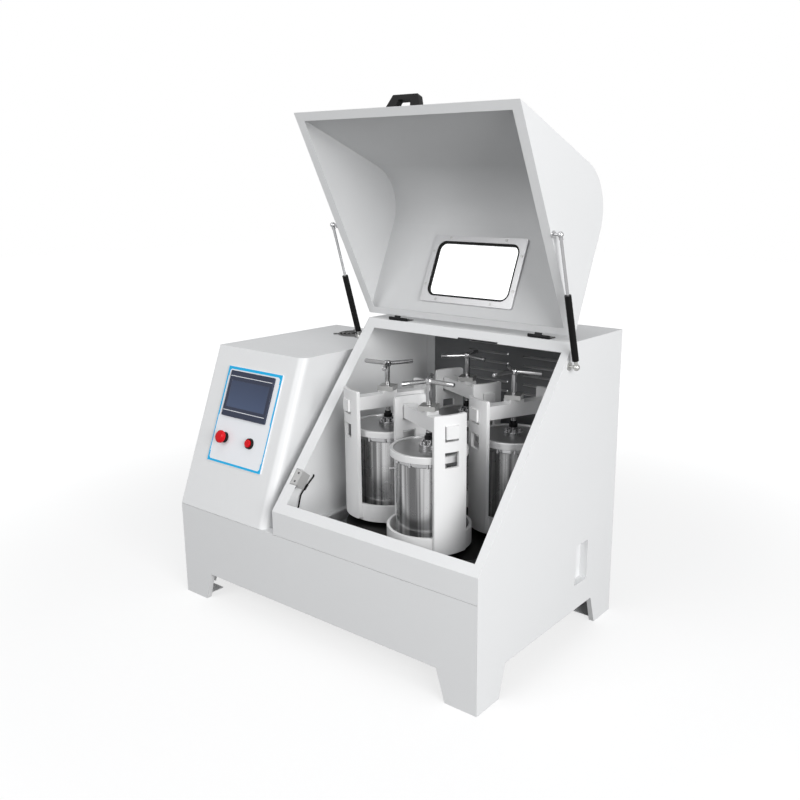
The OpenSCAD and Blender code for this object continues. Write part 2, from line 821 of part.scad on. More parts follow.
module deck_plate() color("dimgray") {
    difference() {
        box([divider_x + sheet, sheet + 2, deck_z - deck_t],
            [rail_right_x, shell_d - sheet - 2, deck_z]);
        translate([turn_x, turn_y, deck_z - deck_t - 1]) cylinder(r = housing_r, h = deck_t + 2);
    }
}

module rear_cover() color("silver") {
    difference() {
        box([chamber_x + 4, shell_d, seam_h + 4], [body_w - 4, body_d, body_h - 4]);
        for (row = [0 : louvre_rows - 1])
            for (side = [-1, 1])
                translate([chamber_mid + side * (louvre_w + louvre_gap) / 2,
                    shell_d - 1, louvre_z + row * louvre_pitch])
                    translate([-louvre_w / 2, 0, 0]) cube([louvre_w, cover_t + 2, louvre_h]);
    }
    // slanted louvre blades, on the inside of each slot
    for (row = [0 : louvre_rows - 1])
        for (side = [-1, 1])
            translate([chamber_mid + side * (louvre_w + louvre_gap) / 2,
                shell_d, louvre_z + row * louvre_pitch + louvre_h])
                along_x(1 - louvre_w / 2, louvre_w / 2 - 1,
                    [[0.7, -0.4], [1.3, 1], [-6.4, -4], [-7.2, -5.2]]);
}

module control_plate() color("white") {
    on_face() difference() {
        translate([plate_x + plate_w / 2, plate_s + plate_h / 2, 0])
            round_plate(plate_w, plate_h, plate_t, 4);
        box([screen_x + 12, screen_s + 12, -1],
            [screen_x + screen_w - 12, screen_s + screen_h - 12, plate_t + 1]);
        translate([stop_x, button_s, -1]) cylinder(r = stem_r + 4, h = plate_t + 2);
        translate([start_x, button_s, -1]) cylinder(r = stem_r + 4, h = plate_t + 2);
    }
}

module touch_screen() color("midnightblue") {
    on_face() translate([plate_mid_x, plate_mid_s, 0]) difference() {
        union() {
            translate([0, 0, plate_t]) round_plate(screen_w, screen_h, screen_t, 4);
            translate([-screen_w / 2 + 13, -screen_h / 2 + 13, plate_t - screen_depth])
                cube([screen_w - 26, screen_h - 26, screen_depth + 1]);
        }
        translate([-display_w / 2, -display_h / 2, plate_t + screen_t - 1])
            cube([display_w, display_h, 2]);
    }
}

module button_collars() color("black") {
    on_face() for (x = [stop_x, start_x])
        translate([x, button_s, 0]) difference() {
            union() {
                translate([0, 0, plate_t]) cylinder(r1 = collar_r, r2 = collar_r - 1.5, h = collar_h);
                translate([0, 0, -18]) cylinder(r = stem_r + 3.8, h = plate_t + 19);
                translate([0, 0, -sheet - 8]) cylinder(r = stem_r + 7, h = 8);
            }
            translate([0, 0, -30]) cylinder(r = stem_r + button_gap, h = 60);
            // room for the head of the start button
            if (x == start_x)
                translate([0, 0, plate_t + collar_h - 4.5])
                    cylinder(r = start_r + 0.3, h = 10);
        }
}
module estop_button() color("red") {
    on_face() translate([stop_x, button_s, plate_t + collar_h + button_travel + 0.6])
        rotate_extrude() polygon([[0, -button_travel - collar_h - 16], [stem_r, -button_travel - collar_h - 16],
            [stem_r, -0.2], [stop_r - 4, 0], [stop_r - 0.8, 2], [stop_r, 5],
            [stop_r - 0.6, stop_head_h - 5], [stop_r - 3.5, stop_head_h - 2],
            [stop_r - 8, stop_head_h - 0.4], [0, stop_head_h]]);
}
module start_button() color("red") {
    on_face() translate([start_x, button_s, plate_t + collar_h])
        rotate_extrude() polygon([[0, -collar_h - 16], [stem_r, -collar_h - 16], [stem_r, -0.3],
            [start_r, -0.3], [start_r, start_head_h - 1.2], [start_r - 1.2, start_head_h],
            [0, start_head_h + 0.6]]);
}

module fan_guard() color("gray") {
    top = cabinet_h;
    translate([fan_x, fan_y, 0]) {
        // guard rings on the cabinet top
        for (r = [fan_bore_r, fan_bore_r - 13, fan_bore_r - 26, fan_bore_r - 39])
            translate([0, 0, top]) rotate_extrude($fn = 36)
                translate([r, 0]) square([guard_wire, guard_wire]);
        for (a = [45 : 90 : 315]) rotate(a) {
            translate([fan_bore_r - 39, -guard_wire / 2, top + guard_wire - 0.6])
                cube([48, guard_wire, guard_wire - 1]);
            translate([fan_bore_r + 14, 0, top]) cylinder(r = 5.5, h = guard_wire + 1, $fn = 16);
            translate([fan_bore_r + 1, -guard_wire / 2, top])
                cube([12, guard_wire, guard_wire]);
        }
        // frame below the cabinet top
        difference() {
            translate([-fan_w / 2, -fan_w / 2, top - sheet - fan_h]) cube([fan_w, fan_w, fan_h]);
            translate([0, 0, top - sheet - fan_h - 1]) cylinder(r = fan_bore_r, h = fan_h + 2);
        }
        for (a = [0 : 90 : 270]) rotate(a)
            translate([fan_pin_r, -3, top - sheet - fan_h]) cube([fan_bore_r + 1 - fan_pin_r, 6, 4]);
        translate([0, 0, top - sheet - fan_h]) {
            cylinder(r = fan_hub_r, h = 5);
            cylinder(r = fan_pin_r, h = fan_h - 6, $fn = 24);
        }
    }
}
module fan_blades() color("black") {
    translate([fan_x, fan_y, cabinet_h - sheet - fan_h + 6]) difference() {
        union() {
            cylinder(r = fan_hub_r, h = 15);
            for (a = [0 : 360 / 7 : 359]) rotate(a)
                translate([fan_hub_r - 2, 0, 7.5]) rotate([32, 0, 0])
                    translate([0, -11, -0.8]) cube([fan_blade_r - fan_hub_r, 22, 1.6]);
        }
        translate([0, 0, -1]) cylinder(r = fan_pin_r + bearing_gap, h = 14.5, $fn = 24);
        translate([0, 0, -7]) cube([200, 200, 14], center = true);
    }
}

module bearing_housing() color("gray") {
    translate([turn_x, turn_y, 0]) difference() {
        union() {
            translate([0, 0, deck_z]) cylinder(r = housing_flange_r, h = housing_flange_t);
            translate([0, 0, deck_z - housing_drop])
                cylinder(r = housing_r, h = housing_drop + 1);
            translate([0, 0, deck_z]) cylinder(r = housing_r, h = pulley_lift + 1);
            translate([0, 0, level_z1]) {
                pulley(sun_seat_r, seat_h, rim_t);
                translate([0, 0, level_h]) pulley(sun_seat_r, seat_h, rim_t);
            }
            for (a = [0 : 60 : 300]) rotate(a)
                translate([housing_flange_r - 6, 0, deck_z + housing_flange_t])
                    cylinder(r = 5, h = 3.5, $fn = 16);
        }
        translate([0, 0, deck_z - housing_drop - 1])
            cylinder(r = shaft_r + bearing_gap, h = sun_top);
        translate([0, 0, deck_z - housing_drop + bearing_h])
            cylinder(r = housing_r - 10, h = sun_top - deck_z + housing_drop - 2 * bearing_h);
    }
}

module turntable() color("black") {
    translate([turn_x, turn_y, turntable_z]) difference() {
        cylinder(r = turntable_r, h = turntable_t, $fn = 72);
        for (k = [1 : 4]) rotate(turn_phase + 90 * (k - 1))
            translate([station_r, 0, -1]) cylinder(r = spindle_bearing_r, h = turntable_t + 2);
    }
}

module drive_shaft() color("silver") {
    translate([turn_x, turn_y, 0]) {
        translate([0, 0, drive_pulley_z - 14]) cylinder(r = shaft_r, h = turntable_z - drive_pulley_z + 10);
        translate([0, 0, turntable_z - 6]) cylinder(r = shaft_flange_r, h = 6);
        difference() {
            translate([0, 0, drive_pulley_z]) pulley(main_seat_r, drive_seat_h, rim_t);
            translate([0, 0, drive_pulley_z - 1]) ring(main_seat_r - 12, housing_r, 11);
            translate([0, 0, drive_pulley_z + drive_seat_h + 2 * rim_t - 10])
                ring(main_seat_r - 12, housing_r, 11);
        }
    }
}

module planet_bearings() color("gray") {
    for (k = [1 : 4]) station(k) difference() {
        union() {
            translate([0, 0, turntable_z - 6]) cylinder(r = spindle_flange_r, h = 6);
            translate([0, 0, turntable_z - 6]) cylinder(r = spindle_bearing_r, h = turntable_t + 8);
        }
        translate([0, 0, turntable_z - 7]) cylinder(r = spindle_r + bearing_gap, h = turntable_t + 12);
    }
}

// outline that a belt follows round the sun pulley and two jar pulleys
module planet_loop(k, grow) {
    hull() {
        circle(sun_seat_r + belt_gap + grow);
        for (j = [k, k + 1]) rotate(turn_phase + 90 * (j - 1)) translate([station_r, 0])
            circle(jar_seat_r + belt_gap + grow);
    }
}
module planet_belts() color("dimgray") {
    for (pair = [0, 1])
        translate([turn_x, turn_y, level_z1 + rim_t + pair * level_h + (seat_h - planet_belt_w) / 2])
            linear_extrude(planet_belt_w) difference() {
                planet_loop(1 + 2 * pair, planet_belt_t);
                planet_loop(1 + 2 * pair, 0);
            }
}

module motor() color("steelblue") {
    translate([motor_x, turn_y, shelf_z]) difference() {
        union() {
            cylinder(r = motor_r + 8, h = 10);
            cylinder(r = motor_r - 4, h = motor_h);
            for (a = [0 : 30 : 330]) rotate(a)
                translate([motor_r - 6, -1.5, 20]) cube([8, 3, motor_h - 70]);
            translate([0, 0, motor_h - 40]) cylinder(r = motor_r, h = 40);
            translate([-terminal_w / 2, -motor_r - 22, terminal_z])
                cube([terminal_w, 40, terminal_h]);
        }
        translate([0, 0, -1]) cylinder(r = motor_shaft_r + bearing_gap, h = motor_shaft_in + 11);
    }
}
module motor_pulley() color("silver") {
    translate([motor_x, turn_y, drive_pulley_z]) {
        pulley(motor_seat_r, drive_seat_h, rim_t);
        cylinder(r = motor_shaft_r, h = shelf_z + motor_shaft_in - drive_pulley_z);
    }
}
module drive_loop(grow) {
    hull() {
        translate([turn_x, turn_y]) circle(main_seat_r + belt_gap + grow, $fn = 64);
        translate([motor_x, turn_y]) circle(motor_seat_r + belt_gap + grow);
    }
}
module drive_belt() color("dimgray") {
    translate([0, 0, drive_pulley_z + rim_t + (drive_seat_h - drive_belt_w) / 2])
        linear_extrude(drive_belt_w) difference() {
            drive_loop(drive_belt_t);
            drive_loop(0);
        }
}

module inverter() color("dimgray") {
    back = shell_d - sheet;
    translate([inverter_x, back - inverter_d, inverter_z]) {
        cube([inverter_w, inverter_d - 40, inverter_h]);
        for (i = [0 : fin_count - 1])
            translate([i * (inverter_w - 4) / (fin_count - 1), inverter_d - 41, 0])
                cube([4, 38, inverter_h]);
        translate([0, inverter_d - 4, 0]) cube([inverter_w, 4, inverter_h]);
        translate([20, -3, 60]) cube([inverter_w - 40, 4, 100]);
    }
}

// knuckles of both hinges: part 0 keeps the outer knuckles and the pin, part 1 the middle one
module hinge(part) {
    third = hinge_w / 3;
    for (x = [hinge_left_x, hinge_right_x]) translate([x, hinge_y, hinge_z]) {
        if (part == 0) {
            difference() {
                union() {
                    rotate([0, 90, 0]) cylinder(r = barrel_r, h = hinge_w, $fn = 24);
                    box([0, 0, -hinge_up], [hinge_w, barrel_r + 2, 0]);
                    box([0, 2, -hinge_up], [hinge_w, leaf_len, -hinge_up + leaf_t]);
                    for (u = [14, hinge_w - 14]) translate([u, leaf_len - 10, -hinge_up])
                        cylinder(r = 4, h = leaf_t + 1.5, $fn = 16);
                }
                box([third - knuckle_gap, -10, -hinge_up - 1],
                    [2 * third + knuckle_gap, barrel_r + 3, 10]);
            }
            rotate([0, 90, 0]) cylinder(r = hinge_pin_r, h = hinge_w, $fn = 24);
        } else {
            difference() {
                union() {
                    translate([third, 0, 0]) rotate([0, 90, 0])
                        cylinder(r = barrel_r, h = third, $fn = 24);
                    box([third, -hinge_back - 8, -hinge_up], [2 * third, 0, -hinge_up + leaf_t]);
                    box([0, -leaf_len - 6, -hinge_up], [hinge_w, -hinge_back - 6, -hinge_up + leaf_t]);
                    for (u = [14, hinge_w - 14]) translate([u, -leaf_len + 4, -hinge_up])
                        cylinder(r = 4, h = leaf_t + 1.5, $fn = 16);
                }
                translate([third - 1, 0, 0]) rotate([0, 90, 0])
                    cylinder(r = hinge_pin_r + hinge_gap, h = third + 2, $fn = 24);
            }
        }
    }
}
module hinge_base_leaves() color("black") {
    hinge(0);
}
module hinge_lid_leaves() color("black") {
    opened() hinge(1);
}

// solid outline of the closed lid, shrunk by a wall thickness
module lid_solid(in) {
    r = lid_corner_r - in;
    rim_z = lid_low_z + in / cos(slope_a);
    edge = lid_edge_y - in / sin(slope_a) - in / tan(slope_a);
    bend_end = [lid_bend_y - r * cos(lid_lean), lid_bend_z - r * sin(lid_lean)];
    low_y = (bend_end[0] + (bend_end[1] - rim_z) * tan(lid_lean))
        / (1 + tan(slope_a) * tan(lid_lean));
    along_x(chamber_x + in, body_w - in, [[low_y, rim_z + low_y * tan(slope_a)], bend_end,
        [lid_bend_y, body_h - in], [edge, body_h - in]]);
    translate([chamber_x + in, lid_bend_y, lid_bend_z]) rotate([0, 90, 0])
        cylinder(r = r, h = chamber_w - 2 * in, $fn = 96);
}
module lid_shell() color("white") {
    opened() difference() {
        lid_solid(0);
        lid_solid(sheet);
        on_slope() box([chamber_x + lid_rim_side, lid_back / cos(slope_a) + lid_rim_low, 0],
            [body_w - lid_rim_side, slope_len - lid_rim_end, lid_gap + sheet + 3]);
        in_window(body_h - sheet - 1)
            round_plate(hole_w, hole_h, sheet + 2, hole_r);
    }
}
hole_w = window_w + 2 * (gasket_show + gasket_hide);
hole_h = window_h + 2 * (gasket_show + gasket_hide);
hole_r = window_r + gasket_show + gasket_hide;
module in_window(z) {
    translate([window_x, lid_edge_y - window_s, z]) children();
}
module window_frame() color("silver") {
    low = body_h - sheet - frame_t;
    w = hole_w + 2 * frame_side;
    h = hole_h + 2 * frame_side;
    opened() in_window(low) {
        difference() {
            round_plate(w, h, frame_t, 6);
            translate([0, 0, 2]) round_plate(hole_w, hole_h, frame_t, hole_r);
            translate([0, 0, -1])
                round_plate(window_w + 2 * gasket_show, window_h + 2 * gasket_show, 4,
                    window_r + gasket_show);
        }
        for (p = [[-0.32, 0.5], [0.28, 0.5], [-0.32, -0.5], [0.28, -0.5]])
            translate([p[0] * w, p[1] * (h - 16), -1.8]) cylinder(r = frame_screw_r, h = 2, $fn = 16);
        for (p = [[-0.5, 0.25], [-0.5, -0.25], [0.5, 0.25], [0.5, -0.25]])
            translate([p[0] * (w - 16), p[1] * h, -1.8]) cylinder(r = frame_screw_r, h = 2, $fn = 16);
    }
}
module window_gasket() color("black") {
    low = body_h - sheet - frame_t + 2;
    opened() in_window(low) difference() {
        round_plate(hole_w, hole_h, frame_t + 1, hole_r);
        translate([0, 0, -1]) round_plate(window_w, window_h, frame_t + 4, window_r);
        translate([0, 0, 2]) round_plate(window_w + 2 * pane_bite, window_h + 2 * pane_bite,
            pane_t, window_r + pane_bite);
    }
}
module window_pane() color("lightcyan", 0.4) {
    opened() in_window(body_h - sheet - frame_t + 4)
        round_plate(window_w + 2 * pane_bite, window_h + 2 * pane_bite, pane_t, window_r + pane_bite);
}
module lid_handle() color("black") {
    top_w = handle_w - 34;
    opened() translate([handle_x, lid_back, lid_front_z]) rotate([lid_lean, 0, 0])
        translate([0, 0, handle_up]) linear_extrude(handle_d) difference() {
        offset(2.5) offset(-2.5) polygon([[-handle_w / 2, 0], [-top_w / 2, -handle_out],
            [top_w / 2, -handle_out], [handle_w / 2, 0]]);
        offset(3) offset(-3) polygon([[-handle_w / 2 + handle_foot, 4],
            [-top_w / 2 + handle_foot - 9, handle_bar - handle_out],
            [top_w / 2 - handle_foot + 9, handle_bar - handle_out], [handle_w / 2 - handle_foot, 4]]);
    }
}

// puts a strut piece at the lower ball: z along the strut, x away from the machine
module strut_frame(side) {
    x = side > 0 ? body_w + strut_off : chamber_x - strut_off;
    translate([x, strut_low_y, strut_low_z]) mirror([side > 0 ? 0 : 1, 0, 0])
        rotate([strut_a - 90, 0, 0]) children();
}
module ball(r) {
    rotate_extrude($fn = 20) difference() {
        circle(r, $fn = 20);
        translate([-r - 1, -r - 1]) square([r + 1, 2 * r + 2]);
    }
}
module strut_base_studs() color("silver") {
    for (side = [-1, 1]) strut_frame(side) {
        ball(ball_r);
        rotate([0, -90, 0]) cylinder(r = neck_r, h = strut_off - 1, $fn = 20);
        translate([-strut_off, 0, 0]) rotate([0, 90, 0])
            cylinder(r = stud_foot_r, h = stud_foot_t, $fn = 24);
    }
}
module strut_cylinder(side) {
    strut_frame(side) difference() {
        union() {
            ball(socket_r);
            cylinder(r = 5, h = tube_start + 1, $fn = 24);
            translate([0, 0, tube_start]) cylinder(r = tube_r, h = tube_len, $fn = 32);
        }
        ball(ball_r + ball_gap);
        rotate([0, -90, 0]) cylinder(r1 = neck_r + 0.8, r2 = neck_r + 4, h = socket_r + 2, $fn = 24);
        translate([0, 0, tube_start + 5])
            cylinder(r = tube_r - tube_wall, h = tube_len - guide_len - 5, $fn = 32);
        translate([0, 0, tube_start + 5]) cylinder(r = rod_r + rod_gap, h = tube_len, $fn = 24);
    }
}
module strut_rod(side) {
    inside = tube_start + tube_len - guide_len - rod_inside;
    strut_frame(side) {
        translate([0, 0, inside]) cylinder(r = rod_r, h = strut_len - inside, $fn = 24);
        translate([0, 0, inside]) cylinder(r = tube_r - tube_wall - 0.3, h = 8, $fn = 32);
        translate([0, 0, strut_len - 13]) cylinder(r = 5.5, h = 10, $fn = 24);
        translate([0, 0, strut_len]) {
            ball(socket_r - 1.5);
            rotate([0, -90, 0]) cylinder(r = neck_r, h = strut_off - stud_gap - 1, $fn = 20);
            translate([-strut_off + stud_gap, 0, 0]) rotate([0, 90, 0])
                cylinder(r = stud_foot_r - 2, h = stud_foot_t, $fn = 24);
        }
    }
}
module strut_cylinder_left() color("black") {
    strut_cylinder(-1);
}
module strut_cylinder_right() color("black") {
    strut_cylinder(1);
}
module strut_rod_left() color("silver") {
    strut_rod(-1);
}
module strut_rod_right() color("silver") {
    strut_rod(1);
}

module safety_switch() color("silver") {
    wall = chamber_x + sheet;
    on_slope() translate([0, switch_s, 0]) {
        difference() {
            box([wall, 0, -switch_sink - switch_d], [wall + switch_w, switch_len, -sheet - 0.2]);
            box([wall + 16, -1, -switch_sink - switch_d - 1],
                [wall + 19, switch_len + 1, -switch_d + 4]);
        }
        box([wall + 12.5, 2, -sheet - 1], [wall + switch_w, switch_len - 2, -switch_sink]);
        for (v = [10, switch_len - 10])
            translate([wall + 26, v, -switch_sink - 0.2]) cylinder(r = 3.5, h = 0.9, $fn = 16);
        // boot of the lead at the lower end
        translate([wall + 9.5, 1, -switch_d + 9]) rotate([90, 0, 0])
            cylinder(r1 = 6, r2 = 4.5, h = 7, $fn = 20);
    }
}
// a round lead drawn through a list of points
module swept(path, r, sides) {
    n = len(path);
    function dir(i) = let (a = path[max(i - 1, 0)], b = path[min(i + 1, n - 1)]) (b - a) / norm(b - a);
    function out(i) = let (u = cross(dir(i), [1, 0.02, 0.01])) u / norm(u);
    points = [for (i = [0 : n - 1]) let (u = out(i), v = cross(dir(i), u))
        for (k = [0 : sides - 1]) path[i] + r * (cos(360 * k / sides) * u + sin(360 * k / sides) * v)];
    faces = concat([[for (k = [0 : sides - 1]) sides - 1 - k]],
        [for (i = [0 : n - 2]) for (k = [0 : sides - 1])
            [i * sides + k, i * sides + (k + 1) % sides, (i + 1) * sides + (k + 1) % sides,
                (i + 1) * sides + k]],
        [[for (k = [0 : sides - 1]) (n - 1) * sides + k]]);
    polyhedron(points, faces);
}
module switch_cable() color("black") {
    swept(lead_path, lead_r, 10);
}

module mains_inlet() color("black") {
    translate([inlet_x, shell_d, inlet_z]) difference() {
        union() {
            translate([0, 1, 0]) rotate([90, 0, 0]) round_slab(inlet_w, inlet_h);
            box([-inlet_w / 2 + 6.5, -30, -inlet_h / 2 + 6.5], [inlet_w / 2 - 6.5, 0.5, inlet_h / 2 - 6.5]);
        }
        box([-inlet_w / 2 + 11, -24, -inlet_h / 2 + 11], [inlet_w / 2 - 11, 3, inlet_h / 2 - 11]);
    }
    for (p = [[-9, -2], [9, -2], [0, 5]])
        translate([inlet_x + p[0] - 1, shell_d - 25, inlet_z + p[1] - 3]) cube([2, 20, 6]);
}
module round_slab(w, h) {
    translate([0, 0, -1]) round_plate(w, h, 2, 5);
}

// front view of an upright with its two windows, drawn across and up
module upright_outline() {
    low = cup_z + upright_up;
    difference() {
        translate([0, (low + upright_z) / 2]) offset(upright_corner_r)
            square([upright_w - 2 * upright_corner_r, upright_z - low - 2 * upright_corner_r],
                center = true);
        for (step = [0, slot_pitch])
            translate([-slot_w / 2, slot_top_z - slot_h - step]) square([slot_w, slot_h]);
    }
}
// tube that the uprights are cut from, up to a given height
module upright_tube(inner_r, top) {
    translate([0, 0, cup_z]) difference() {
        cylinder(r = upright_r, h = top - cup_z, $fn = 64);
        translate([0, 0, -1]) cylinder(r = inner_r, h = top, $fn = 64);
    }
}
module jar_holder() {
    translate([0, 0, cup_z]) difference() {
        cylinder(r = cup_r, h = cup_h, $fn = 56);
        translate([0, 0, cup_floor]) cylinder(r = cup_r - cup_wall, h = cup_h, $fn = 56);
    }
    // two curved uprights, cut from a tube and fixed to the cup along their feet
    for (a = [0, 180]) rotate(a) intersection() {
        union() {
            upright_tube(upright_r - upright_t, upright_z);
            upright_tube(cup_r - 0.5, cup_z + cup_h);
        }
        rotate([90, 0, 90]) linear_extrude(upright_r + 1) upright_outline();
    }
    translate([0, 0, cup_z - 6]) cylinder(r = spindle_flange_r - 6, h = 7);
    translate([0, 0, level_z1 - 2]) cylinder(r = spindle_r, h = cup_z - level_z1);
}
module jar_pulley(k) {
    translate([0, 0, k < 3 ? level_z1 : level_z2]) pulley(jar_seat_r, seat_h, rim_t);
}
module jar_body() {
    rotate_extrude($fn = 56) polygon([[0, jar_z], [jar_r - 2, jar_z], [jar_r, jar_z + 2],
        [jar_r, jar_top - jar_collar_h - 6], [jar_r + 1.5, jar_top - jar_collar_h - 4],
        [jar_r + 1.5, jar_top - jar_collar_h], [jar_collar_r, jar_top - jar_collar_h],
        [jar_collar_r, jar_top], [jar_r - jar_wall, jar_top],
        [jar_r - jar_wall, jar_z + jar_floor], [0, jar_z + jar_floor]]);
    for (i = [0 : collar_bolts - 1]) rotate(i * 360 / collar_bolts)
        translate([jar_collar_r + 1, 0, jar_top - collar_bolt_h])
            cylinder(r = collar_bolt_r, h = collar_bolt_h - 0.3, $fn = 12);
    rotate(peg_angle - 360) translate([jar_r - 3, 0, jar_top - peg_down]) rotate([0, 90, 0])
        cylinder(r = 3.2, h = peg_out + 3, $fn = 14);
}
module jar_lid() {
    rotate_extrude($fn = 56) polygon([[0, jar_top - 8], [jar_r - jar_wall - 0.3, jar_top - 8],
        [jar_r - jar_wall - 0.3, jar_top], [jar_lid_r - 1, jar_top], [jar_lid_r, jar_top + 1],
        [jar_lid_r, lid_top - 1.5], [jar_lid_r - 1.5, lid_top], [jar_lid_r - 9, lid_top],
        [jar_lid_r - 9, lid_top - jar_lid_sink], [boss_r, lid_top - jar_lid_sink],
        [boss_r, lid_top + boss_flange_h - 1], [boss_r - 1, lid_top + boss_flange_h],
        [boss_neck_r, lid_top + boss_flange_h], [boss_neck_r, boss_top], [0, boss_top]]);
}
module clamp_beam() {
    half = upright_r + beam_out;
    shoulder = sqrt(pow(upright_r - upright_t, 2) - pow(beam_w / 2, 2)) - beam_gap;
    difference() {
        union() {
            box([-half, -beam_w / 2, beam_z], [half, beam_w / 2, slot_top_z]);
            box([-shoulder, -beam_w / 2, beam_z], [shoulder, beam_w / 2, slot_top_z + beam_rise]);
            translate([-beam_w / 2 - 4, -beam_w / 2, slot_top_z - 1])
                cube([beam_w + 8, beam_w, nut_pad_h + 1]);
            translate([0, 0, nut_z]) rotate(45)
                translate([-nut_w / 2, -nut_w / 2, 0]) cube([nut_w, nut_w, nut_h]);
        }
        translate([0, 0, beam_z - 1]) cylinder(r = screw_r + screw_gap, h = beam_h + 60, $fn = 32);
    }
}
module pressure_pad() {
    difference() {
        translate([0, 0, boss_top]) rotate_extrude($fn = 32) polygon([[0, 0], [pad_r - 1, 0],
            [pad_r, 1], [pad_r, 8], [pad_top_r, 10], [pad_top_r, pad_h], [0, pad_h]]);
        translate([0, 0, boss_top + 5]) cylinder(r = screw_r - 2 + screw_gap, h = pad_h, $fn = 24);
    }
}
module clamp_screw(k) {
    tip = boss_top + 5.05;
    neck = boss_top + pad_h + 0.05;
    translate([0, 0, tip]) cylinder(r = screw_r - 2, h = neck - tip + 1, $fn = 24);
    translate([0, 0, neck]) cylinder(r = screw_r, h = star_z - neck, $fn = 32);
    translate([0, 0, star_z - hub_h / 2]) rotate_extrude($fn = 28) polygon([[0, 0], [hub_r - 2, 0],
        [hub_r, 2], [hub_r, hub_h - 4], [hub_r - 4, hub_h], [0, hub_h]]);
    for (a = [0, 120, 240]) rotate(a + star_turns[k - 1]) translate([0, 0, star_z])
        rotate([0, 90 + arm_droop, 0]) {
            cylinder(r = arm_r, h = arm_len - 2, $fn = 18);
            cylinder(r = arm_r - 2, h = arm_len, $fn = 18);
        }
}

module jar_holder_1() color("whitesmoke") { station(1) { jar_holder(); jar_pulley(1); } }
module jar_holder_2() color("whitesmoke") { station(2) { jar_holder(); jar_pulley(2); } }
module jar_holder_3() color("whitesmoke") { station(3) { jar_holder(); jar_pulley(3); } }
module jar_holder_4() color("whitesmoke") { station(4) { jar_holder(); jar_pulley(4); } }
module jar_body_1() color("silver") { station(1) jar_body(); }
module jar_body_2() color("silver") { station(2) jar_body(); }
module jar_body_3() color("silver") { station(3) jar_body(); }
module jar_body_4() color("silver") { station(4) jar_body(); }
module jar_lid_1() color("lightgray") { station(1) jar_lid(); }
module jar_lid_2() color("lightgray") { station(2) jar_lid(); }
module jar_lid_3() color("lightgray") { station(3) jar_lid(); }
module jar_lid_4() color("lightgray") { station(4) jar_lid(); }
module clamp_beam_1() color("whitesmoke") { station(1) clamp_beam(); }
module clamp_beam_2() color("whitesmoke") { station(2) clamp_beam(); }
module clamp_beam_3() color("whitesmoke") { station(3) clamp_beam(); }
module clamp_beam_4() color("whitesmoke") { station(4) clamp_beam(); }
module pressure_pad_1() color("dimgray") { station(1) pressure_pad(); }
module pressure_pad_2() color("dimgray") { station(2) pressure_pad(); }
module pressure_pad_3() color("dimgray") { station(3) pressure_pad(); }
module pressure_pad_4() color("dimgray") { station(4) pressure_pad(); }
module clamp_screw_1() color("silver") { station(1) clamp_screw(1); }
module clamp_screw_2() color("silver") { station(2) clamp_screw(2); }
module clamp_screw_3() color("silver") { station(3) clamp_screw(3); }
module clamp_screw_4() color("silver") { station(4) clamp_screw(4); }

centred() base_frame();
centred() chamber_shell();
centred() control_cabinet();
centred() deck_plate();
centred() rear_cover();
centred() control_plate();
centred() touch_screen();
centred() button_collars();
centred() estop_button();
centred() start_button();
centred() fan_guard();
centred() fan_blades();
centred() bearing_housing();
centred() turntable();
centred() drive_shaft();
centred() planet_bearings();
centred() planet_belts();
centred() motor();
centred() motor_pulley();
centred() drive_belt();
centred() inverter();
centred() hinge_base_leaves();
centred() hinge_lid_leaves();
centred() lid_shell();
centred() window_frame();
centred() window_pane();
centred() window_gasket();
centred() lid_handle();
centred() strut_base_studs();
centred() strut_cylinder_left();
centred() strut_cylinder_right();
centred() strut_rod_left();
centred() strut_rod_right();
centred() safety_switch();
centred() switch_cable();
centred() mains_inlet();
centred() jar_holder_1();
centred() jar_body_1();
centred() jar_lid_1();
centred() clamp_beam_1();
centred() pressure_pad_1();
centred() clamp_screw_1();
centred() jar_holder_2();
centred() jar_body_2();
centred() jar_lid_2();
centred() clamp_beam_2();
centred() pressure_pad_2();
centred() clamp_screw_2();
centred() jar_holder_3();
centred() jar_body_3();
centred() jar_lid_3();
centred() clamp_beam_3();
centred() pressure_pad_3();
centred() clamp_screw_3();
centred() jar_holder_4();
centred() jar_body_4();
centred() jar_lid_4();
centred() clamp_beam_4();
centred() pressure_pad_4();
centred() clamp_screw_4();
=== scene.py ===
import math

import bmesh
import bpy
from mathutils import Matrix, Vector


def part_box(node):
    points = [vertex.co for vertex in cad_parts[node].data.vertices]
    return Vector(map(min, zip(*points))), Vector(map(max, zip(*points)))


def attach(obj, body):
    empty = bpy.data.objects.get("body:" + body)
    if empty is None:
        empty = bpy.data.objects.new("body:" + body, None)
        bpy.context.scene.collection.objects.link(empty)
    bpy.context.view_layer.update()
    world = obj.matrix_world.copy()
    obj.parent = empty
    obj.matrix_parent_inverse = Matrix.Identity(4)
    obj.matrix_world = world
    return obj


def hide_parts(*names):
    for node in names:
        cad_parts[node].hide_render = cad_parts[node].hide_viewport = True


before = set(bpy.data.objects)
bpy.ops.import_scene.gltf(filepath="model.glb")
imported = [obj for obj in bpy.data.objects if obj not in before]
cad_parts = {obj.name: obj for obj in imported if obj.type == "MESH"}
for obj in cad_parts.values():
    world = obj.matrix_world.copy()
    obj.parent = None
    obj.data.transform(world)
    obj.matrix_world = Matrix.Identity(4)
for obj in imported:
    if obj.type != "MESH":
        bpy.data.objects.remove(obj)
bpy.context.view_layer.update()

# View, light and floor
# The machine stands on a pale studio floor. A large soft box far on its right gives the
# brightest side, one in front and a weak one above fill the sloped faces and the tops, and the
# world is a plain light grey.
SIDE_TURN = math.radians(36.318)
LOOK_DOWN = math.radians(13.446)
LEAN = math.radians(0.411)
EYE_PLACE = (1.65010, -1.90151, 1.27770)
FLOOR_REACH = 14
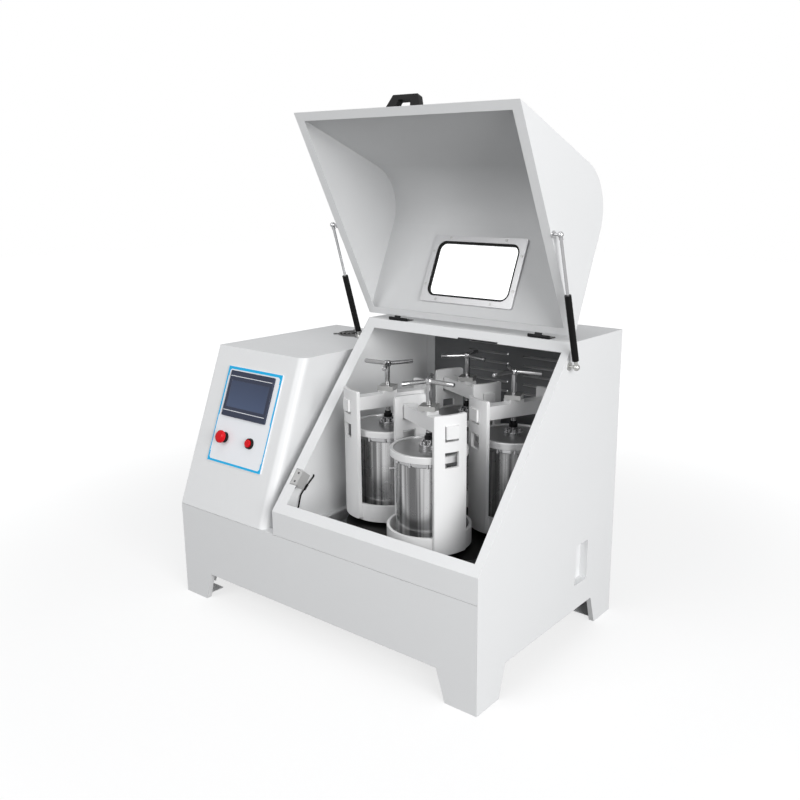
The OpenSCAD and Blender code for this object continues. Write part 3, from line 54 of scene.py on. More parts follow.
back = Vector((math.sin(SIDE_TURN) * math.cos(LOOK_DOWN),
               -math.cos(SIDE_TURN) * math.cos(LOOK_DOWN), math.sin(LOOK_DOWN)))
level = (-back).cross(Vector((0, 0, 1))).normalized()
upward = level.cross(-back)
right_edge = level * math.cos(LEAN) + upward * math.sin(LEAN)
top_edge = upward * math.cos(LEAN) - level * math.sin(LEAN)
eye = bpy.data.objects.new("view_of_the_photo", bpy.data.cameras.new("view_of_the_photo"))
eye.data.sensor_width = 36.0
eye.data.lens = 38.826
eye.data.shift_x = -0.0798
eye.data.shift_y = -0.0085
eye.data.clip_start = 0.05
eye.matrix_world = Matrix((
    (right_edge.x, top_edge.x, back.x, EYE_PLACE[0]),
    (right_edge.y, top_edge.y, back.y, EYE_PLACE[1]),
    (right_edge.z, top_edge.z, back.z, EYE_PLACE[2]),
    (0, 0, 0, 1)))
bpy.context.scene.collection.objects.link(eye)
bpy.context.scene.camera = eye
bpy.context.scene.view_settings.view_transform = "Standard"


def soft_lamp(name, place, aim, size, watts):
    """A square soft box at place, pointed at aim."""
    lamp = bpy.data.objects.new(name, bpy.data.lights.new(name, "AREA"))
    lamp.data.shape = "SQUARE"
    lamp.data.size = size
    lamp.data.energy = watts
    lamp.location = place
    lamp.rotation_euler = (Vector(place) - Vector(aim)).to_track_quat("Z", "Y").to_euler()
    bpy.context.scene.collection.objects.link(lamp)


soft_lamp("lamp_right", (6.0, -2.6, 2.3), (0.1, 0.0, 0.6), 3.8, 372.0)
soft_lamp("lamp_front", (-0.8, -4.2, 3.1), (0.1, 0.0, 0.6), 2.4, 68.0)
soft_lamp("lamp_above", (0.0, -0.4, 4.4), (0.0, 0.0, 0.6), 2.6, 22.0)


def put(tree, kind, settings=None, inputs=None):
    """Adds one shader node; inputs maps a socket to a value or to the socket that feeds it."""
    made = tree.nodes.new("ShaderNode" + kind)
    for key, value in (settings or {}).items():
        setattr(made, key, value)
    for key, value in (inputs or {}).items():
        if isinstance(value, bpy.types.NodeSocket):
            tree.links.new(value, made.inputs[key])
        else:
            made.inputs[key].default_value = value
    return made


def maths(tree, operation, a, b, clamp=False):
    """The output of one Math node."""
    return put(tree, "Math", {"operation": operation, "use_clamp": clamp}, {0: a, 1: b}).outputs[0]


def blend_colour(tree, share, first, second):
    """A colour between first and second."""
    return put(tree, "Mix", {"data_type": "RGBA"},
               {"Factor": share, 6: first, 7: second}).outputs[2]


world = bpy.data.worlds.new("pale_studio")
bpy.context.scene.world = world
world.use_nodes = True
sky = world.node_tree
sky.nodes.clear()
seen = put(sky, "LightPath")
white_rays = maths(sky, "MAXIMUM", seen.outputs["Is Camera Ray"],
                   seen.outputs["Is Transmission Ray"])
ambient = put(sky, "Background", None, {"Color": (0.95, 0.97, 1.0, 1), "Strength": 0.33})
backdrop = put(sky, "Background", None, {"Color": (1, 1, 1, 1), "Strength": 1.0})
mirrored = put(sky, "Background", None, {"Color": (1, 1, 1, 1), "Strength": 0.75})
in_gloss = put(sky, "MixShader", None, {0: seen.outputs["Is Glossy Ray"],
                                        1: ambient.outputs[0], 2: mirrored.outputs[0]})
sky_mix = put(sky, "MixShader", None, {0: white_rays, 1: in_gloss.outputs[0],
                                       2: backdrop.outputs[0]})
put(sky, "OutputWorld", None, {0: sky_mix.outputs[0]})

floor_mesh = bpy.data.meshes.new("studio_floor")
floor_mesh.from_pydata(
    [(-FLOOR_REACH, -FLOOR_REACH, 0), (FLOOR_REACH, -FLOOR_REACH, 0),
     (FLOOR_REACH, FLOOR_REACH, 0), (-FLOOR_REACH, FLOOR_REACH, 0)], [], [(0, 1, 2, 3)])
floor = bpy.data.objects.new("studio_floor", floor_mesh)
bpy.context.scene.collection.objects.link(floor)
floor_finish = bpy.data.materials.new("pale_floor")
floor_finish.use_nodes = True
tree = floor_finish.node_tree
tree.nodes.clear()
seen = put(tree, "LightPath")
where = put(tree, "TexCoord")
away = put(tree, "VectorMath", {"operation": "LENGTH"}, {0: where.outputs["Object"]})
far = put(tree, "MapRange", {"clamp": True, "interpolation_type": "SMOOTHSTEP"},
          {0: away.outputs["Value"], 1: 1.0, 2: 3.2, 3: 0.72, 4: 1.0}).outputs[0]
direct = maths(tree, "MAXIMUM", seen.outputs["Is Camera Ray"],
               seen.outputs["Is Transmission Ray"])
lift = maths(tree, "ADD", maths(tree, "MULTIPLY", direct, far),
             maths(tree, "MULTIPLY", seen.outputs["Is Glossy Ray"], 0.45))
paint = put(tree, "BsdfDiffuse", None, {"Color": (0.30, 0.30, 0.30, 1)})
glow = put(tree, "Emission", None, {"Color": (1, 1, 1, 1), "Strength": lift})
both = put(tree, "AddShader", None, {0: paint.outputs[0], 1: glow.outputs[0]})
put(tree, "OutputMaterial", None, {0: both.outputs[0]})
floor_mesh.materials.append(floor_finish)

# Base and cabinets
# The base, the chamber and the control cabinet are folded from 2 mm steel sheet and welded at
# the corners. They are powder coated a very light grey with a faint orange peel, and a painted
# highlight makes the coating brighter along the folds.
WHITE = (0.80, 0.805, 0.81, 1)
# painted highlight: the lighter colour of the coat along its folds and edges
WHITE_EDGE_HIGHLIGHT = (0.86, 0.86, 0.86, 1)
WHITE_DULL = (0.73, 0.735, 0.735, 1)
PEEL_DEPTH = 0.00005


def effect(name, inputs, outputs):
    """An empty node group with its named sockets, and its two end nodes."""
    tree = bpy.data.node_groups.new(name, "ShaderNodeTree")
    for label, kind, value in inputs:
        socket = tree.interface.new_socket(label, in_out="INPUT", socket_type="NodeSocket" + kind)
        if value is not None:
            socket.default_value = value
    for label, kind in outputs:
        tree.interface.new_socket(label, in_out="OUTPUT", socket_type="NodeSocket" + kind)
    return tree, tree.nodes.new("NodeGroupInput").outputs, tree.nodes.new("NodeGroupOutput")


# soft folded edges: a rounded normal and a mask of the edge itself
soft_edge, given, result = effect("soft_edge", [("Radius", "Float", 0.001)],
                                  [("Normal", "Vector"), ("Edge", "Float")])
rounded = put(soft_edge, "Bevel", {"samples": 4}, {"Radius": given["Radius"]})
flat = put(soft_edge, "NewGeometry")
match = put(soft_edge, "VectorMath", {"operation": "DOT_PRODUCT"},
            {0: rounded.outputs[0], 1: flat.outputs["True Normal"]})
gap = maths(soft_edge, "SUBTRACT", 1.0, match.outputs["Value"])
soft_edge.links.new(rounded.outputs[0], result.inputs["Normal"])
soft_edge.links.new(maths(soft_edge, "MULTIPLY", gap, 5.0, clamp=True), result.inputs["Edge"])

# orange peel, cloudy tone and settled dust of a sprayed and baked coating
coat_grain, given, result = effect(
    "coat_grain", [("Size", "Float", 420.0), ("Cloud", "Float", 3.0)],
    [("Height", "Float"), ("Tone", "Float"), ("Dust", "Float")])
where = put(coat_grain, "TexCoord")
peel = put(coat_grain, "TexNoise", None, {"Vector": where.outputs["Object"],
                                          "Scale": given["Size"], "Detail": 3.0, "Roughness": 0.55})
cloud = put(coat_grain, "TexNoise", None, {"Vector": where.outputs["Object"],
                                           "Scale": given["Cloud"], "Detail": 4.0})
facing = put(coat_grain, "SeparateXYZ", None, {0: where.outputs["Normal"]})
specks = put(coat_grain, "TexNoise", None, {"Vector": where.outputs["Object"], "Scale": 38.0,
                                            "Detail": 6.0, "Roughness": 0.7})
lying = maths(coat_grain, "MULTIPLY", maths(coat_grain, "MAXIMUM", facing.outputs["Z"], 0.0),
              maths(coat_grain, "SUBTRACT", specks.outputs["Fac"], 0.42, clamp=True))
coat_grain.links.new(peel.outputs["Fac"], result.inputs["Height"])
coat_grain.links.new(cloud.outputs["Fac"], result.inputs["Tone"])
coat_grain.links.new(lying, result.inputs["Dust"])


def placed(tree, effect_tree, **values):
    """Puts an effect into a material with its own values."""
    made = put(tree, "Group", {"node_tree": effect_tree})
    for key, value in values.items():
        if isinstance(value, bpy.types.NodeSocket):
            tree.links.new(value, made.inputs[key])
        else:
            made.inputs[key].default_value = value
    return made.outputs


def finish_named(name, **sockets):
    """A new material with one Principled shader; returns the material, its tree and shader."""
    made = bpy.data.materials.new(name)
    made.use_nodes = True
    tree = made.node_tree
    tree.nodes.clear()
    shader = put(tree, "BsdfPrincipled")
    for key, value in sockets.items():
        shader.inputs[key.replace("_", " ")].default_value = value
    put(tree, "OutputMaterial", None, {0: shader.outputs[0]})
    return made, tree, shader


def ranged(tree, value, low, high):
    """Value 0 to 1 stretched to low to high."""
    return put(tree, "MapRange", {"clamp": True}, {0: value, 3: low, 4: high}).outputs[0]


def bumped(tree, shader, height, depth, normal):
    """Feeds the shader's normal from a height, on top of the rounded edges."""
    made = put(tree, "Bump", None, {"Strength": 1.0, "Distance": depth, "Height": height,
                                    "Normal": normal})
    tree.links.new(made.outputs[0], shader.inputs["Normal"])


def coated(name, colour, thin, dull, rough=(0.36, 0.46), edge=0.0012, size=420.0, ior=1.5):
    """Sprayed and baked coating in three tones: the face, the edges lightened as painted highlight,
    and the dulled parts.
    """
    made, tree, shader = finish_named(name, IOR=ior)
    grain = placed(tree, coat_grain, Size=size, Cloud=2.2)
    fold = placed(tree, soft_edge, Radius=edge)
    tone = blend_colour(tree, ranged(tree, grain["Tone"], 0.0, 0.45), colour, dull)
    tone = blend_colour(tree, grain["Dust"], tone, dull)
    # painted highlight: the colour given as thin lightens the edges and folds
    tone = blend_colour(tree, maths(tree, "MULTIPLY", fold["Edge"], 0.6), tone, thin)
    tree.links.new(tone, shader.inputs["Base Color"])
    tree.links.new(ranged(tree, grain["Tone"], *rough), shader.inputs["Roughness"])
    bumped(tree, shader, grain["Height"], PEEL_DEPTH, fold["Normal"])
    return made


def dressed(finish, *names):
    """Gives CAD nodes their material."""
    for name in names:
        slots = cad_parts[name].data.materials
        slots.clear()
        slots.append(finish)


white_coat = coated("white_powder_coat", WHITE, WHITE_EDGE_HIGHLIGHT, WHITE_DULL)
dressed(white_coat, "base_frame", "chamber_shell", "control_cabinet")

# Deck and rear cover
# The deck under the turntable is steel sheet, coated white. The rear cover is the same sheet,
# coated grey. The louvre blades behind its slots get a lighter steel finish, a painted highlight
# for the light they catch. Plated screws hold the cover, sunk in until their heads are flush with
# its outside.
GREY_COAT = (0.170, 0.174, 0.180, 1)
# painted highlight along the edges of the grey coat
GREY_EDGE_HIGHLIGHT = (0.21, 0.215, 0.22, 1)
GREY_DULL = (0.13, 0.133, 0.136, 1)
COVER_SCREW_R = 0.0055
SCREW_INSET = 0.014
HEAD_HEIGHT = 0.0026
HEAD_RECESS = 0.0012
BLADE_EDGE = 0.0025
WORN_EDGE = 0.0006

grey_coat = coated("dark_grey_coat", GREY_COAT, GREY_EDGE_HIGHLIGHT, GREY_DULL, rough=(0.4, 0.55))
dressed(white_coat, "deck_plate")
dressed(grey_coat, "rear_cover")


def joined(name, mesh_makers):
    """One object from several pieces of mesh code, each called with the same bmesh."""
    bm = bmesh.new()
    for maker in mesh_makers:
        maker(bm)
    bmesh.ops.recalc_face_normals(bm, faces=bm.faces)
    mesh = bpy.data.meshes.new(name)
    bm.to_mesh(mesh)
    bm.free()
    mesh.shade_smooth()
    mesh.set_sharp_from_angle(angle=math.radians(32))
    made = bpy.data.objects.new(name, mesh)
    bpy.context.scene.collection.objects.link(made)
    return made


def turned(bm, profile, place, sides):
    """Turns a profile of (radius, height) round the Z axis of place, closed at both ends."""
    rings = []
    for radius, height in profile:
        if radius < 1e-6:
            rings.append([bm.verts.new(place @ Vector((0, 0, height)))])
        else:
            rings.append([bm.verts.new(place @ Vector((
                radius * math.cos(math.tau * i / sides), radius * math.sin(math.tau * i / sides),
                height))) for i in range(sides)])
    for low, high in zip(rings, rings[1:]):
        for i in range(sides):
            j = (i + 1) % sides
            around = [low[i % len(low)], low[j % len(low)],
                      high[j % len(high)], high[i % len(high)]]
            around = list(dict.fromkeys(around))
            if len(around) > 2:
                bm.faces.new(around)
    for ring in (rings[0], rings[-1]):
        if len(ring) > 1:
            bm.faces.new(ring)


def turned_to(place, direction):
    """A frame at place whose Z axis points along direction."""
    turn = Vector(direction).to_track_quat("Z", "Y")
    return Matrix.Translation(place) @ turn.to_matrix().to_4x4()


def round_head(radius, height, recess):
    """Profile of a round screw head with a sunk middle, from its seat to its crown."""
    return [(0, 0), (radius, 0), (radius, height * 0.25), (radius * 0.9, height * 0.62),
            (radius * 0.66, height * 0.92), (radius * 0.45, height),
            (radius * 0.4, height - recess), (0, height - recess)]


# fine turned or ground lines, and the cloudy tone of handled metal
metal_lines, given, result = effect(
    "metal_lines",
    [("Along", "Vector", (0, 0, 1)), ("Pitch", "Float", 2600.0), ("Cloud", "Float", 14.0)],
    [("Height", "Float"), ("Tone", "Float")])
where = put(metal_lines, "TexCoord")
step = put(metal_lines, "VectorMath", {"operation": "MULTIPLY"},
           {0: where.outputs["Object"], 1: given["Along"]})
fine = put(metal_lines, "TexNoise", None, {"Vector": step.outputs[0], "Scale": given["Pitch"],
                                           "Detail": 3.0, "Roughness": 0.6})
cloud = put(metal_lines, "TexNoise", None, {"Vector": where.outputs["Object"],
                                            "Scale": given["Cloud"], "Detail": 5.0})
metal_lines.links.new(fine.outputs["Fac"], result.inputs["Height"])
metal_lines.links.new(cloud.outputs["Fac"], result.inputs["Tone"])


def metal(name, colour, dull, rough, along, pitch, depth=0.000012, shine=1.0):
    """Bare or plated metal with fine lines along one direction and brighter worn edges."""
    made, tree, shader = finish_named(name, Metallic=shine)
    lines = placed(tree, metal_lines, Along=along, Pitch=pitch)
    fold = placed(tree, soft_edge, Radius=WORN_EDGE)
    streak = maths(tree, "ADD", maths(tree, "MULTIPLY", lines["Height"], 0.5),
                   maths(tree, "MULTIPLY", lines["Tone"], 0.5))
    tone = blend_colour(tree, ranged(tree, streak, 0.0, 1.0), dull, colour)
    bright = tuple(min(1.0, c * 1.25) for c in colour[:3]) + (1,)
    tone = blend_colour(tree, maths(tree, "MULTIPLY", fold["Edge"], 0.5), tone, bright)
    tree.links.new(tone, shader.inputs["Base Color"])
    tree.links.new(ranged(tree, streak, rough[1], rough[0]), shader.inputs["Roughness"])
    bumped(tree, shader, lines["Height"], depth, fold["Normal"])
    return made


def second_finish(name, finish, test):
    """Gives the faces of a CAD node that pass the test one more material."""
    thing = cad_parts[name]
    thing.data.materials.append(finish)
    for face in thing.data.polygons:
        if test(face.center):
            face.material_index = len(thing.data.materials) - 1


# painted highlight: the louvre blades take a light steel colour for the light they catch
blade_painted_highlight = metal("louvre_painted_highlight", (0.62, 0.62, 0.63, 1), (0.48, 0.48, 0.49, 1), (0.30, 0.44),
                    along=(0.05, 1, 1), pitch=900.0)
zinc = metal("zinc_plated_steel", (0.62, 0.62, 0.60, 1), (0.42, 0.42, 0.41, 1), (0.26, 0.42),
             along=(1, 1, 1), pitch=900.0)
cover_low, cover_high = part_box("rear_cover")
second_finish("rear_cover", blade_painted_highlight, lambda c: c.y < cover_high.y - BLADE_EDGE)
cover_middle = (cover_low + cover_high) / 2
screw_makers = []
for x in (cover_low.x + SCREW_INSET, cover_middle.x, cover_high.x - SCREW_INSET):
    for z in (cover_low.z + SCREW_INSET, cover_middle.z, cover_high.z - SCREW_INSET):
        if (x, z) != (cover_middle.x, cover_middle.z):
            seat = turned_to((x, cover_high.y - HEAD_HEIGHT, z), (0, 1, 0))
            screw_makers.append(lambda bm, seat=seat: turned(
                bm, round_head(COVER_SCREW_R, HEAD_HEIGHT, HEAD_RECESS), seat, 20))
cover_screws = joined("rear_cover_screws", screw_makers)
cover_screws.data.materials.append(zinc)
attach(cover_screws, "machine")

# Control panel
# A white film with a blue printed border covers the plate on the cabinet's sloped face. The
# glossy touch screen is set into the plate, above a mushroom stop button and a smaller start
# button, both moulded in red plastic.
FACE_SLOPE = math.atan2(0.482, 0.184)
FACE_FOOT = Vector((-0.59075, -0.355, 0.300))
PLATE = (0.071, 0.153, 0.319, 0.457)
PLATE_FACE = 0.003
PRINT_LOW = PLATE_FACE - 0.0001
PRINT_HIGH = PLATE_FACE + 0.00018
SCREEN = (0.093, 0.300, 0.291, 0.443)
SCREEN_FACE = 0.008
PANE_LOW = SCREEN_FACE - 0.0011
PANE_HIGH = SCREEN_FACE - 0.0004
LINE_LOW = SCREEN_FACE - 0.0001
LINE_HIGH = SCREEN_FACE + 0.0002
DISPLAY_W = 0.171
DISPLAY_H = 0.083
LINE_HEIGHTS = (0.4262, 0.3185)
LINE_HALF = 0.0011
BLUE = (0.0, 0.42, 0.78, 1)
BLUE_FADED = (0.02, 0.47, 0.82, 1)
on_face = Matrix.Translation(FACE_FOOT) @ Matrix.Rotation(FACE_SLOPE, 4, "X")

film_white, tree, shader = finish_named("printed_film", IOR=1.5, Coat_Weight=0.25,
                                        Coat_Roughness=0.12)
grain = placed(tree, coat_grain, Size=900.0, Cloud=9.0)
fold = placed(tree, soft_edge, Radius=0.0006)
tree.links.new(blend_colour(tree, grain["Tone"], (0.87, 0.885, 0.91, 1), (0.82, 0.84, 0.875, 1)),
               shader.inputs["Base Color"])
tree.links.new(ranged(tree, grain["Tone"], 0.26, 0.36), shader.inputs["Roughness"])
bumped(tree, shader, grain["Height"], 0.00002, fold["Normal"])
dressed(film_white, "control_plate")

blue_ink, tree, shader = finish_named("blue_print", IOR=1.4)
grain = placed(tree, coat_grain, Size=1400.0, Cloud=26.0)
tree.links.new(blend_colour(tree, ranged(tree, grain["Tone"], 0.0, 0.7), BLUE, BLUE_FADED),
               shader.inputs["Base Color"])
tree.links.new(ranged(tree, grain["Tone"], 0.42, 0.56), shader.inputs["Roughness"])
bumped(tree, shader, grain["Height"], 0.00001, placed(tree, soft_edge, Radius=0.0002)["Normal"])


def slab(bm, outline, low, high, place):
    """A flat piece with the given outline, from height low to high in the frame of place."""
    foot = [bm.verts.new(place @ Vector((x, y, low))) for x, y in outline]
    head = [bm.verts.new(place @ Vector((x, y, high))) for x, y in outline]
    bm.faces.new(list(reversed(foot)))
    bm.faces.new(head)
    for i in range(len(outline)):
        j = (i + 1) % len(outline)
        bm.faces.new((foot[i], foot[j], head[j], head[i]))


def strip(x0, y0, x1, y1, low=PRINT_LOW, high=PRINT_HIGH):
    """Maker of one straight printed strip on the cabinet face."""
    return lambda bm: slab(bm, [(x0, y0), (x1, y0), (x1, y1), (x0, y1)], low, high, on_face)


def corner(x, y, reach, width, sx, sy, step):
    """Maker of one stepped corner of the border; sx and sy point into the plate."""
    points = [(0, 0), (reach, 0), (reach, width), (width + step, width), (width, width + step),
              (width, reach), (0, reach)]
    if sx * sy < 0:
        points.reverse()
    return lambda bm: slab(bm, [(x + sx * u, y + sy * v) for u, v in points],
                           PRINT_LOW, PRINT_HIGH, on_face)


left, low, right, high = PLATE
rim, wide, low_wide, reach = 0.0015, 0.0085, 0.0068, 0.030
thin, bold, step = 0.0042, 0.0064, 0.006
shoulder = SCREEN[1]
border = joined("panel_border", [
    strip(left + rim + reach, high - rim - wide, right - rim - reach, high - rim),
    strip(left + rim + reach, low + rim, right - rim - reach, low + rim + low_wide),
    strip(left + rim, shoulder, left + rim + bold, high - rim - reach),
    strip(right - rim - bold, shoulder, right - rim, high - rim - reach),
    strip(left + rim, low + rim + reach, left + rim + thin, shoulder),
    strip(right - rim - thin, low + rim + reach, right - rim, shoulder),
    corner(left + rim, high - rim, reach, wide, 1, -1, step),
    corner(right - rim, high - rim, reach, wide, -1, -1, step),
    corner(left + rim, low + rim, reach, low_wide, 1, 1, step),
    corner(right - rim, low + rim, reach, low_wide, -1, 1, step)])
border.data.materials.append(blue_ink)
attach(border, "machine")

bezel_finish, tree, shader = finish_named("screen_bezel", IOR=1.45, Coat_Weight=0.25,
                                          Coat_Roughness=0.10)
grain = placed(tree, coat_grain, Size=1600.0, Cloud=12.0)
fold = placed(tree, soft_edge, Radius=0.0012)
tree.links.new(blend_colour(tree, fold["Edge"], (0.010, 0.018, 0.050, 1), (0.08, 0.10, 0.17, 1)),
               shader.inputs["Base Color"])
tree.links.new(ranged(tree, grain["Tone"], 0.16, 0.30), shader.inputs["Roughness"])
bumped(tree, shader, grain["Height"], 0.000015, fold["Normal"])
dressed(bezel_finish, "touch_screen")

display_finish, tree, shader = finish_named("lit_display", IOR=1.4, Coat_Weight=0.35,
                                            Coat_Roughness=0.05)
grain = placed(tree, coat_grain, Size=2200.0, Cloud=7.0)
across = put(tree, "TexCoord")
height_on = put(tree, "SeparateXYZ", None, {0: across.outputs["Object"]})
climb = put(tree, "MapRange", {"clamp": True},
            {0: height_on.outputs["Z"], 1: 0.60, 2: 0.70, 3: 0.0, 4: 1.0})
pane_tone = blend_colour(tree, climb.outputs[0], (0.042, 0.070, 0.150, 1),
                         (0.016, 0.030, 0.076, 1))
tree.links.new(blend_colour(tree, maths(tree, "MULTIPLY", grain["Tone"], 0.25), pane_tone,
                            (0.08, 0.115, 0.20, 1)), shader.inputs["Base Color"])
tree.links.new(ranged(tree, grain["Tone"], 0.10, 0.20), shader.inputs["Roughness"])
bumped(tree, shader, grain["Height"], 0.000004, placed(tree, soft_edge, Radius=0.0002)["Normal"])
screen_x, screen_y = (SCREEN[0] + SCREEN[2]) / 2, (SCREEN[1] + SCREEN[3]) / 2
display = joined("display_pane", [
    strip(screen_x - DISPLAY_W / 2, screen_y - DISPLAY_H / 2, screen_x + DISPLAY_W / 2,
          screen_y + DISPLAY_H / 2, PANE_LOW, PANE_HIGH)])
display.data.materials.append(display_finish)
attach(display, "machine")

line_finish, tree, shader = finish_named("white_line", IOR=1.5)
grain = placed(tree, coat_grain, Size=1500.0, Cloud=30.0)
tree.links.new(blend_colour(tree, grain["Tone"], (0.86, 0.87, 0.90, 1), (0.62, 0.64, 0.70, 1)),
               shader.inputs["Base Color"])
tree.links.new(ranged(tree, grain["Tone"], 0.25, 0.4), shader.inputs["Roughness"])
bezel_lines = joined("bezel_lines", [
    strip(SCREEN[0] + 0.004, y - LINE_HALF, SCREEN[2] - 0.006, y + LINE_HALF, LINE_LOW, LINE_HIGH)
    for y in LINE_HEIGHTS])
bezel_lines.data.materials.append(line_finish)
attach(bezel_lines, "machine")


def plastic(name, colour, worn, rough, size, depth, edge, ior=1.48):
    """Moulded plastic or rubber with a fine texture, paler where edges are rubbed."""
    made, tree, shader = finish_named(name, IOR=ior)
    grain = placed(tree, coat_grain, Size=size, Cloud=18.0)
    fold = placed(tree, soft_edge, Radius=edge)
    tone = blend_colour(tree, maths(tree, "MULTIPLY", fold["Edge"], 0.7), colour, worn)
    tone = blend_colour(tree, maths(tree, "MULTIPLY", grain["Dust"], 0.35), tone, worn)
    tree.links.new(tone, shader.inputs["Base Color"])
    tree.links.new(ranged(tree, grain["Tone"], *rough), shader.inputs["Roughness"])
    bumped(tree, shader, grain["Height"], depth, fold["Normal"])
    return made


def eased(name, width, steps=3):
    """Rounds off the sharp edges of a CAD node's shown mesh."""
    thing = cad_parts[name]
    weld = thing.modifiers.new("weld", "WELD")
    weld.merge_threshold = 0.00001
    ease = thing.modifiers.new("ease", "BEVEL")
    ease.width = width
    ease.segments = steps
    ease.limit_method = "ANGLE"
    ease.angle_limit = math.radians(30)
    ease.use_clamp_overlap = True


red_plastic = plastic("red_button", (0.66, 0.002, 0.008, 1), (0.72, 0.02, 0.03, 1), (0.14, 0.22),
                      700.0, 0.00001, 0.0015, ior=1.3)
black_plastic = plastic("black_plastic", (0.004, 0.004, 0.004, 1), (0.025, 0.025, 0.026, 1),
                        (0.40, 0.56), 1500.0, 0.00004, 0.0010, ior=1.32)
dressed(red_plastic, "estop_button", "start_button")
eased("estop_button", 0.0045, 4)
eased("start_button", 0.0020)
dressed(black_plastic, "button_collars")

# Cabinet fan
# The fan hangs under the cabinet top and blows through a guard of plated wire rings, which is
# screwed on from above. Its frame and blades are moulded in black plastic.
GUARD_FOOT = 0.7802

guard_wire = metal("fan_guard_wire", (0.26, 0.26, 0.26, 1), (0.12, 0.12, 0.12, 1), (0.26, 0.40),
                   along=(1, 1, 1), pitch=900.0)
dressed(guard_wire, "fan_guard")
second_finish("fan_guard", black_plastic, lambda c: c.z < GUARD_FOOT)
dressed(black_plastic, "fan_blades")

# Turntable and its drive
# The steel turntable, painted black on top, is screwed to the flange of the main shaft, which
# turns in a housing under it. Belts drive the jar spindles from the fixed pulley on that
# housing.
TURN_AXIS = Vector((0.20025, 0.002, 0))
TABLE_TOP = 0.326
BOLT_CIRCLE = 0.042

black_coat = coated("black_satin_coat", (0.004, 0.004, 0.004, 1), (0.03, 0.03, 0.03, 1),
                    (0.007, 0.007, 0.007, 1), rough=(0.34, 0.5), size=520.0, ior=1.28)
dark_steel = metal("dark_steel", (0.20, 0.20, 0.205, 1), (0.09, 0.09, 0.092, 1), (0.30, 0.46),
                   along=(1, 1, 1), pitch=700.0)
rubber = plastic("black_rubber", (0.008, 0.008, 0.008, 1), (0.045, 0.045, 0.045, 1), (0.55, 0.75),
                 900.0, 0.00006, 0.0008, ior=1.3)
cast_metal = metal("cast_aluminium", (0.66, 0.66, 0.67, 1), (0.46, 0.46, 0.47, 1), (0.34, 0.52),
                   along=(1, 1, 1), pitch=520.0, depth=0.00004)
dressed(black_coat, "turntable")
second_finish("turntable", dark_steel, lambda c: c.z < TABLE_TOP - 0.001)
dressed(dark_steel, "bearing_housing", "planet_bearings", "motor_pulley")
dressed(zinc, "drive_shaft")
dressed(rubber, "planet_belts", "drive_belt")
dressed(cast_metal, "motor")
dressed(black_plastic, "inverter", "mains_inlet")

bolt_makers = []
for i in range(6):
    angle = math.tau * i / 6 + 0.3
    seat = turned_to(TURN_AXIS + Vector((BOLT_CIRCLE * math.cos(angle),
                                         BOLT_CIRCLE * math.sin(angle),
                                         TABLE_TOP - 0.0005)), (0, 0, 1))
    bolt_makers.append(lambda bm, seat=seat: turned(
        bm, [(0, 0), (0.0065, 0), (0.0065, 0.0072), (0.0058, 0.0080), (0.0034, 0.0080),
             (0.0034, 0.0045), (0, 0.0045)], seat, 24))
bolt_makers.append(lambda bm: turned(
    bm, [(0, 0), (0.022, 0), (0.022, 0.004), (0.019, 0.0052), (0, 0.0056)],
    Matrix.Translation(TURN_AXIS + Vector((0, 0, TABLE_TOP - 0.0005))), 40))
table_bolts = joined("turntable_bolts", bolt_makers)
table_bolts.data.materials.append(dark_steel)
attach(table_bolts, "turntable")

# Jars in their holders
# Each stainless jar stands in a white coated steel holder with two windowed uprights, which a
# beam with a plated nut joins above it. The jar is turned and burnished, and its ground lid
# carries a turned boss under the pressure pad, held by eight socket-head screws.
STATIONS = (1, 2, 3, 4)
STATION_R = 0.188
STATION_TURN = math.radians(20.5)
HOLDER_TURN = math.radians(46)
SPINDLE_TOP = 0.3355
BEAM_TOP = 0.7035
BOSS_FOOT = 0.6035
BOSS_SCREWS_R = 0.0203
BOSS_STEP = 0.611
JAR_COLLAR = 0.5685
JAR_R = 0.090
LID_FLAT_R = 0.0965

polished = metal("polished_steel", (0.68, 0.68, 0.69, 1), (0.52, 0.52, 0.53, 1), (0.10, 0.20),
                 along=(0.02, 0.02, 1), pitch=2200.0, depth=0.000010)

# the jar walls are burnished from end to end; the dark and bright bands along them are painted
# reflection
painted_reflection_jar_steel, tree, shader = finish_named("jar_steel_painted_reflections", Metallic=1.0)
lines = placed(tree, metal_lines, Along=(1, 1, 0.02), Pitch=900.0)
fold = placed(tree, soft_edge, Radius=0.0008)
where = put(tree, "TexCoord")
reflection_bands = put(tree, "VectorMath", {"operation": "MULTIPLY"},
            {0: where.outputs["Object"], 1: (1, 1, 0.012)})
reflection_bands = put(tree, "TexNoise", None, {"Vector": reflection_bands.outputs[0], "Scale": 62.0, "Detail": 2.5,
                                     "Roughness": 0.62})
reflection_band = put(tree, "MapRange", {"clamp": True},
           {0: reflection_bands.outputs["Fac"], 1: 0.40, 2: 0.60, 3: 0.0, 4: 1.0}).outputs[0]
# painted reflection: dark and bright bands round the jar wall
tone = blend_colour(tree, reflection_band, (0.20, 0.20, 0.203, 1), (0.74, 0.74, 0.745, 1))
tone = blend_colour(tree, maths(tree, "MULTIPLY", fold["Edge"], 0.5), tone, (0.80, 0.80, 0.80, 1))
tree.links.new(tone, shader.inputs["Base Color"])
tree.links.new(ranged(tree, lines["Tone"], 0.20, 0.34), shader.inputs["Roughness"])
bumped(tree, shader, lines["Height"], 0.00001, fold["Normal"])
lid_plate = metal("ground_lid_steel", (0.46, 0.46, 0.465, 1), (0.30, 0.30, 0.305, 1),
                  (0.26, 0.38), along=(1, 0.15, 1), pitch=1500.0)
# the lid's rim is a polished ring; its near-white colour with half the metal shine is painted
# reflection
lid_rim_painted_reflection = metal("polished_lid_rim_painted_reflection", (0.86, 0.86, 0.86, 1), (0.74, 0.74, 0.74, 1), (0.24, 0.36),
                along=(0.02, 0.02, 1), pitch=1500.0, shine=0.55)


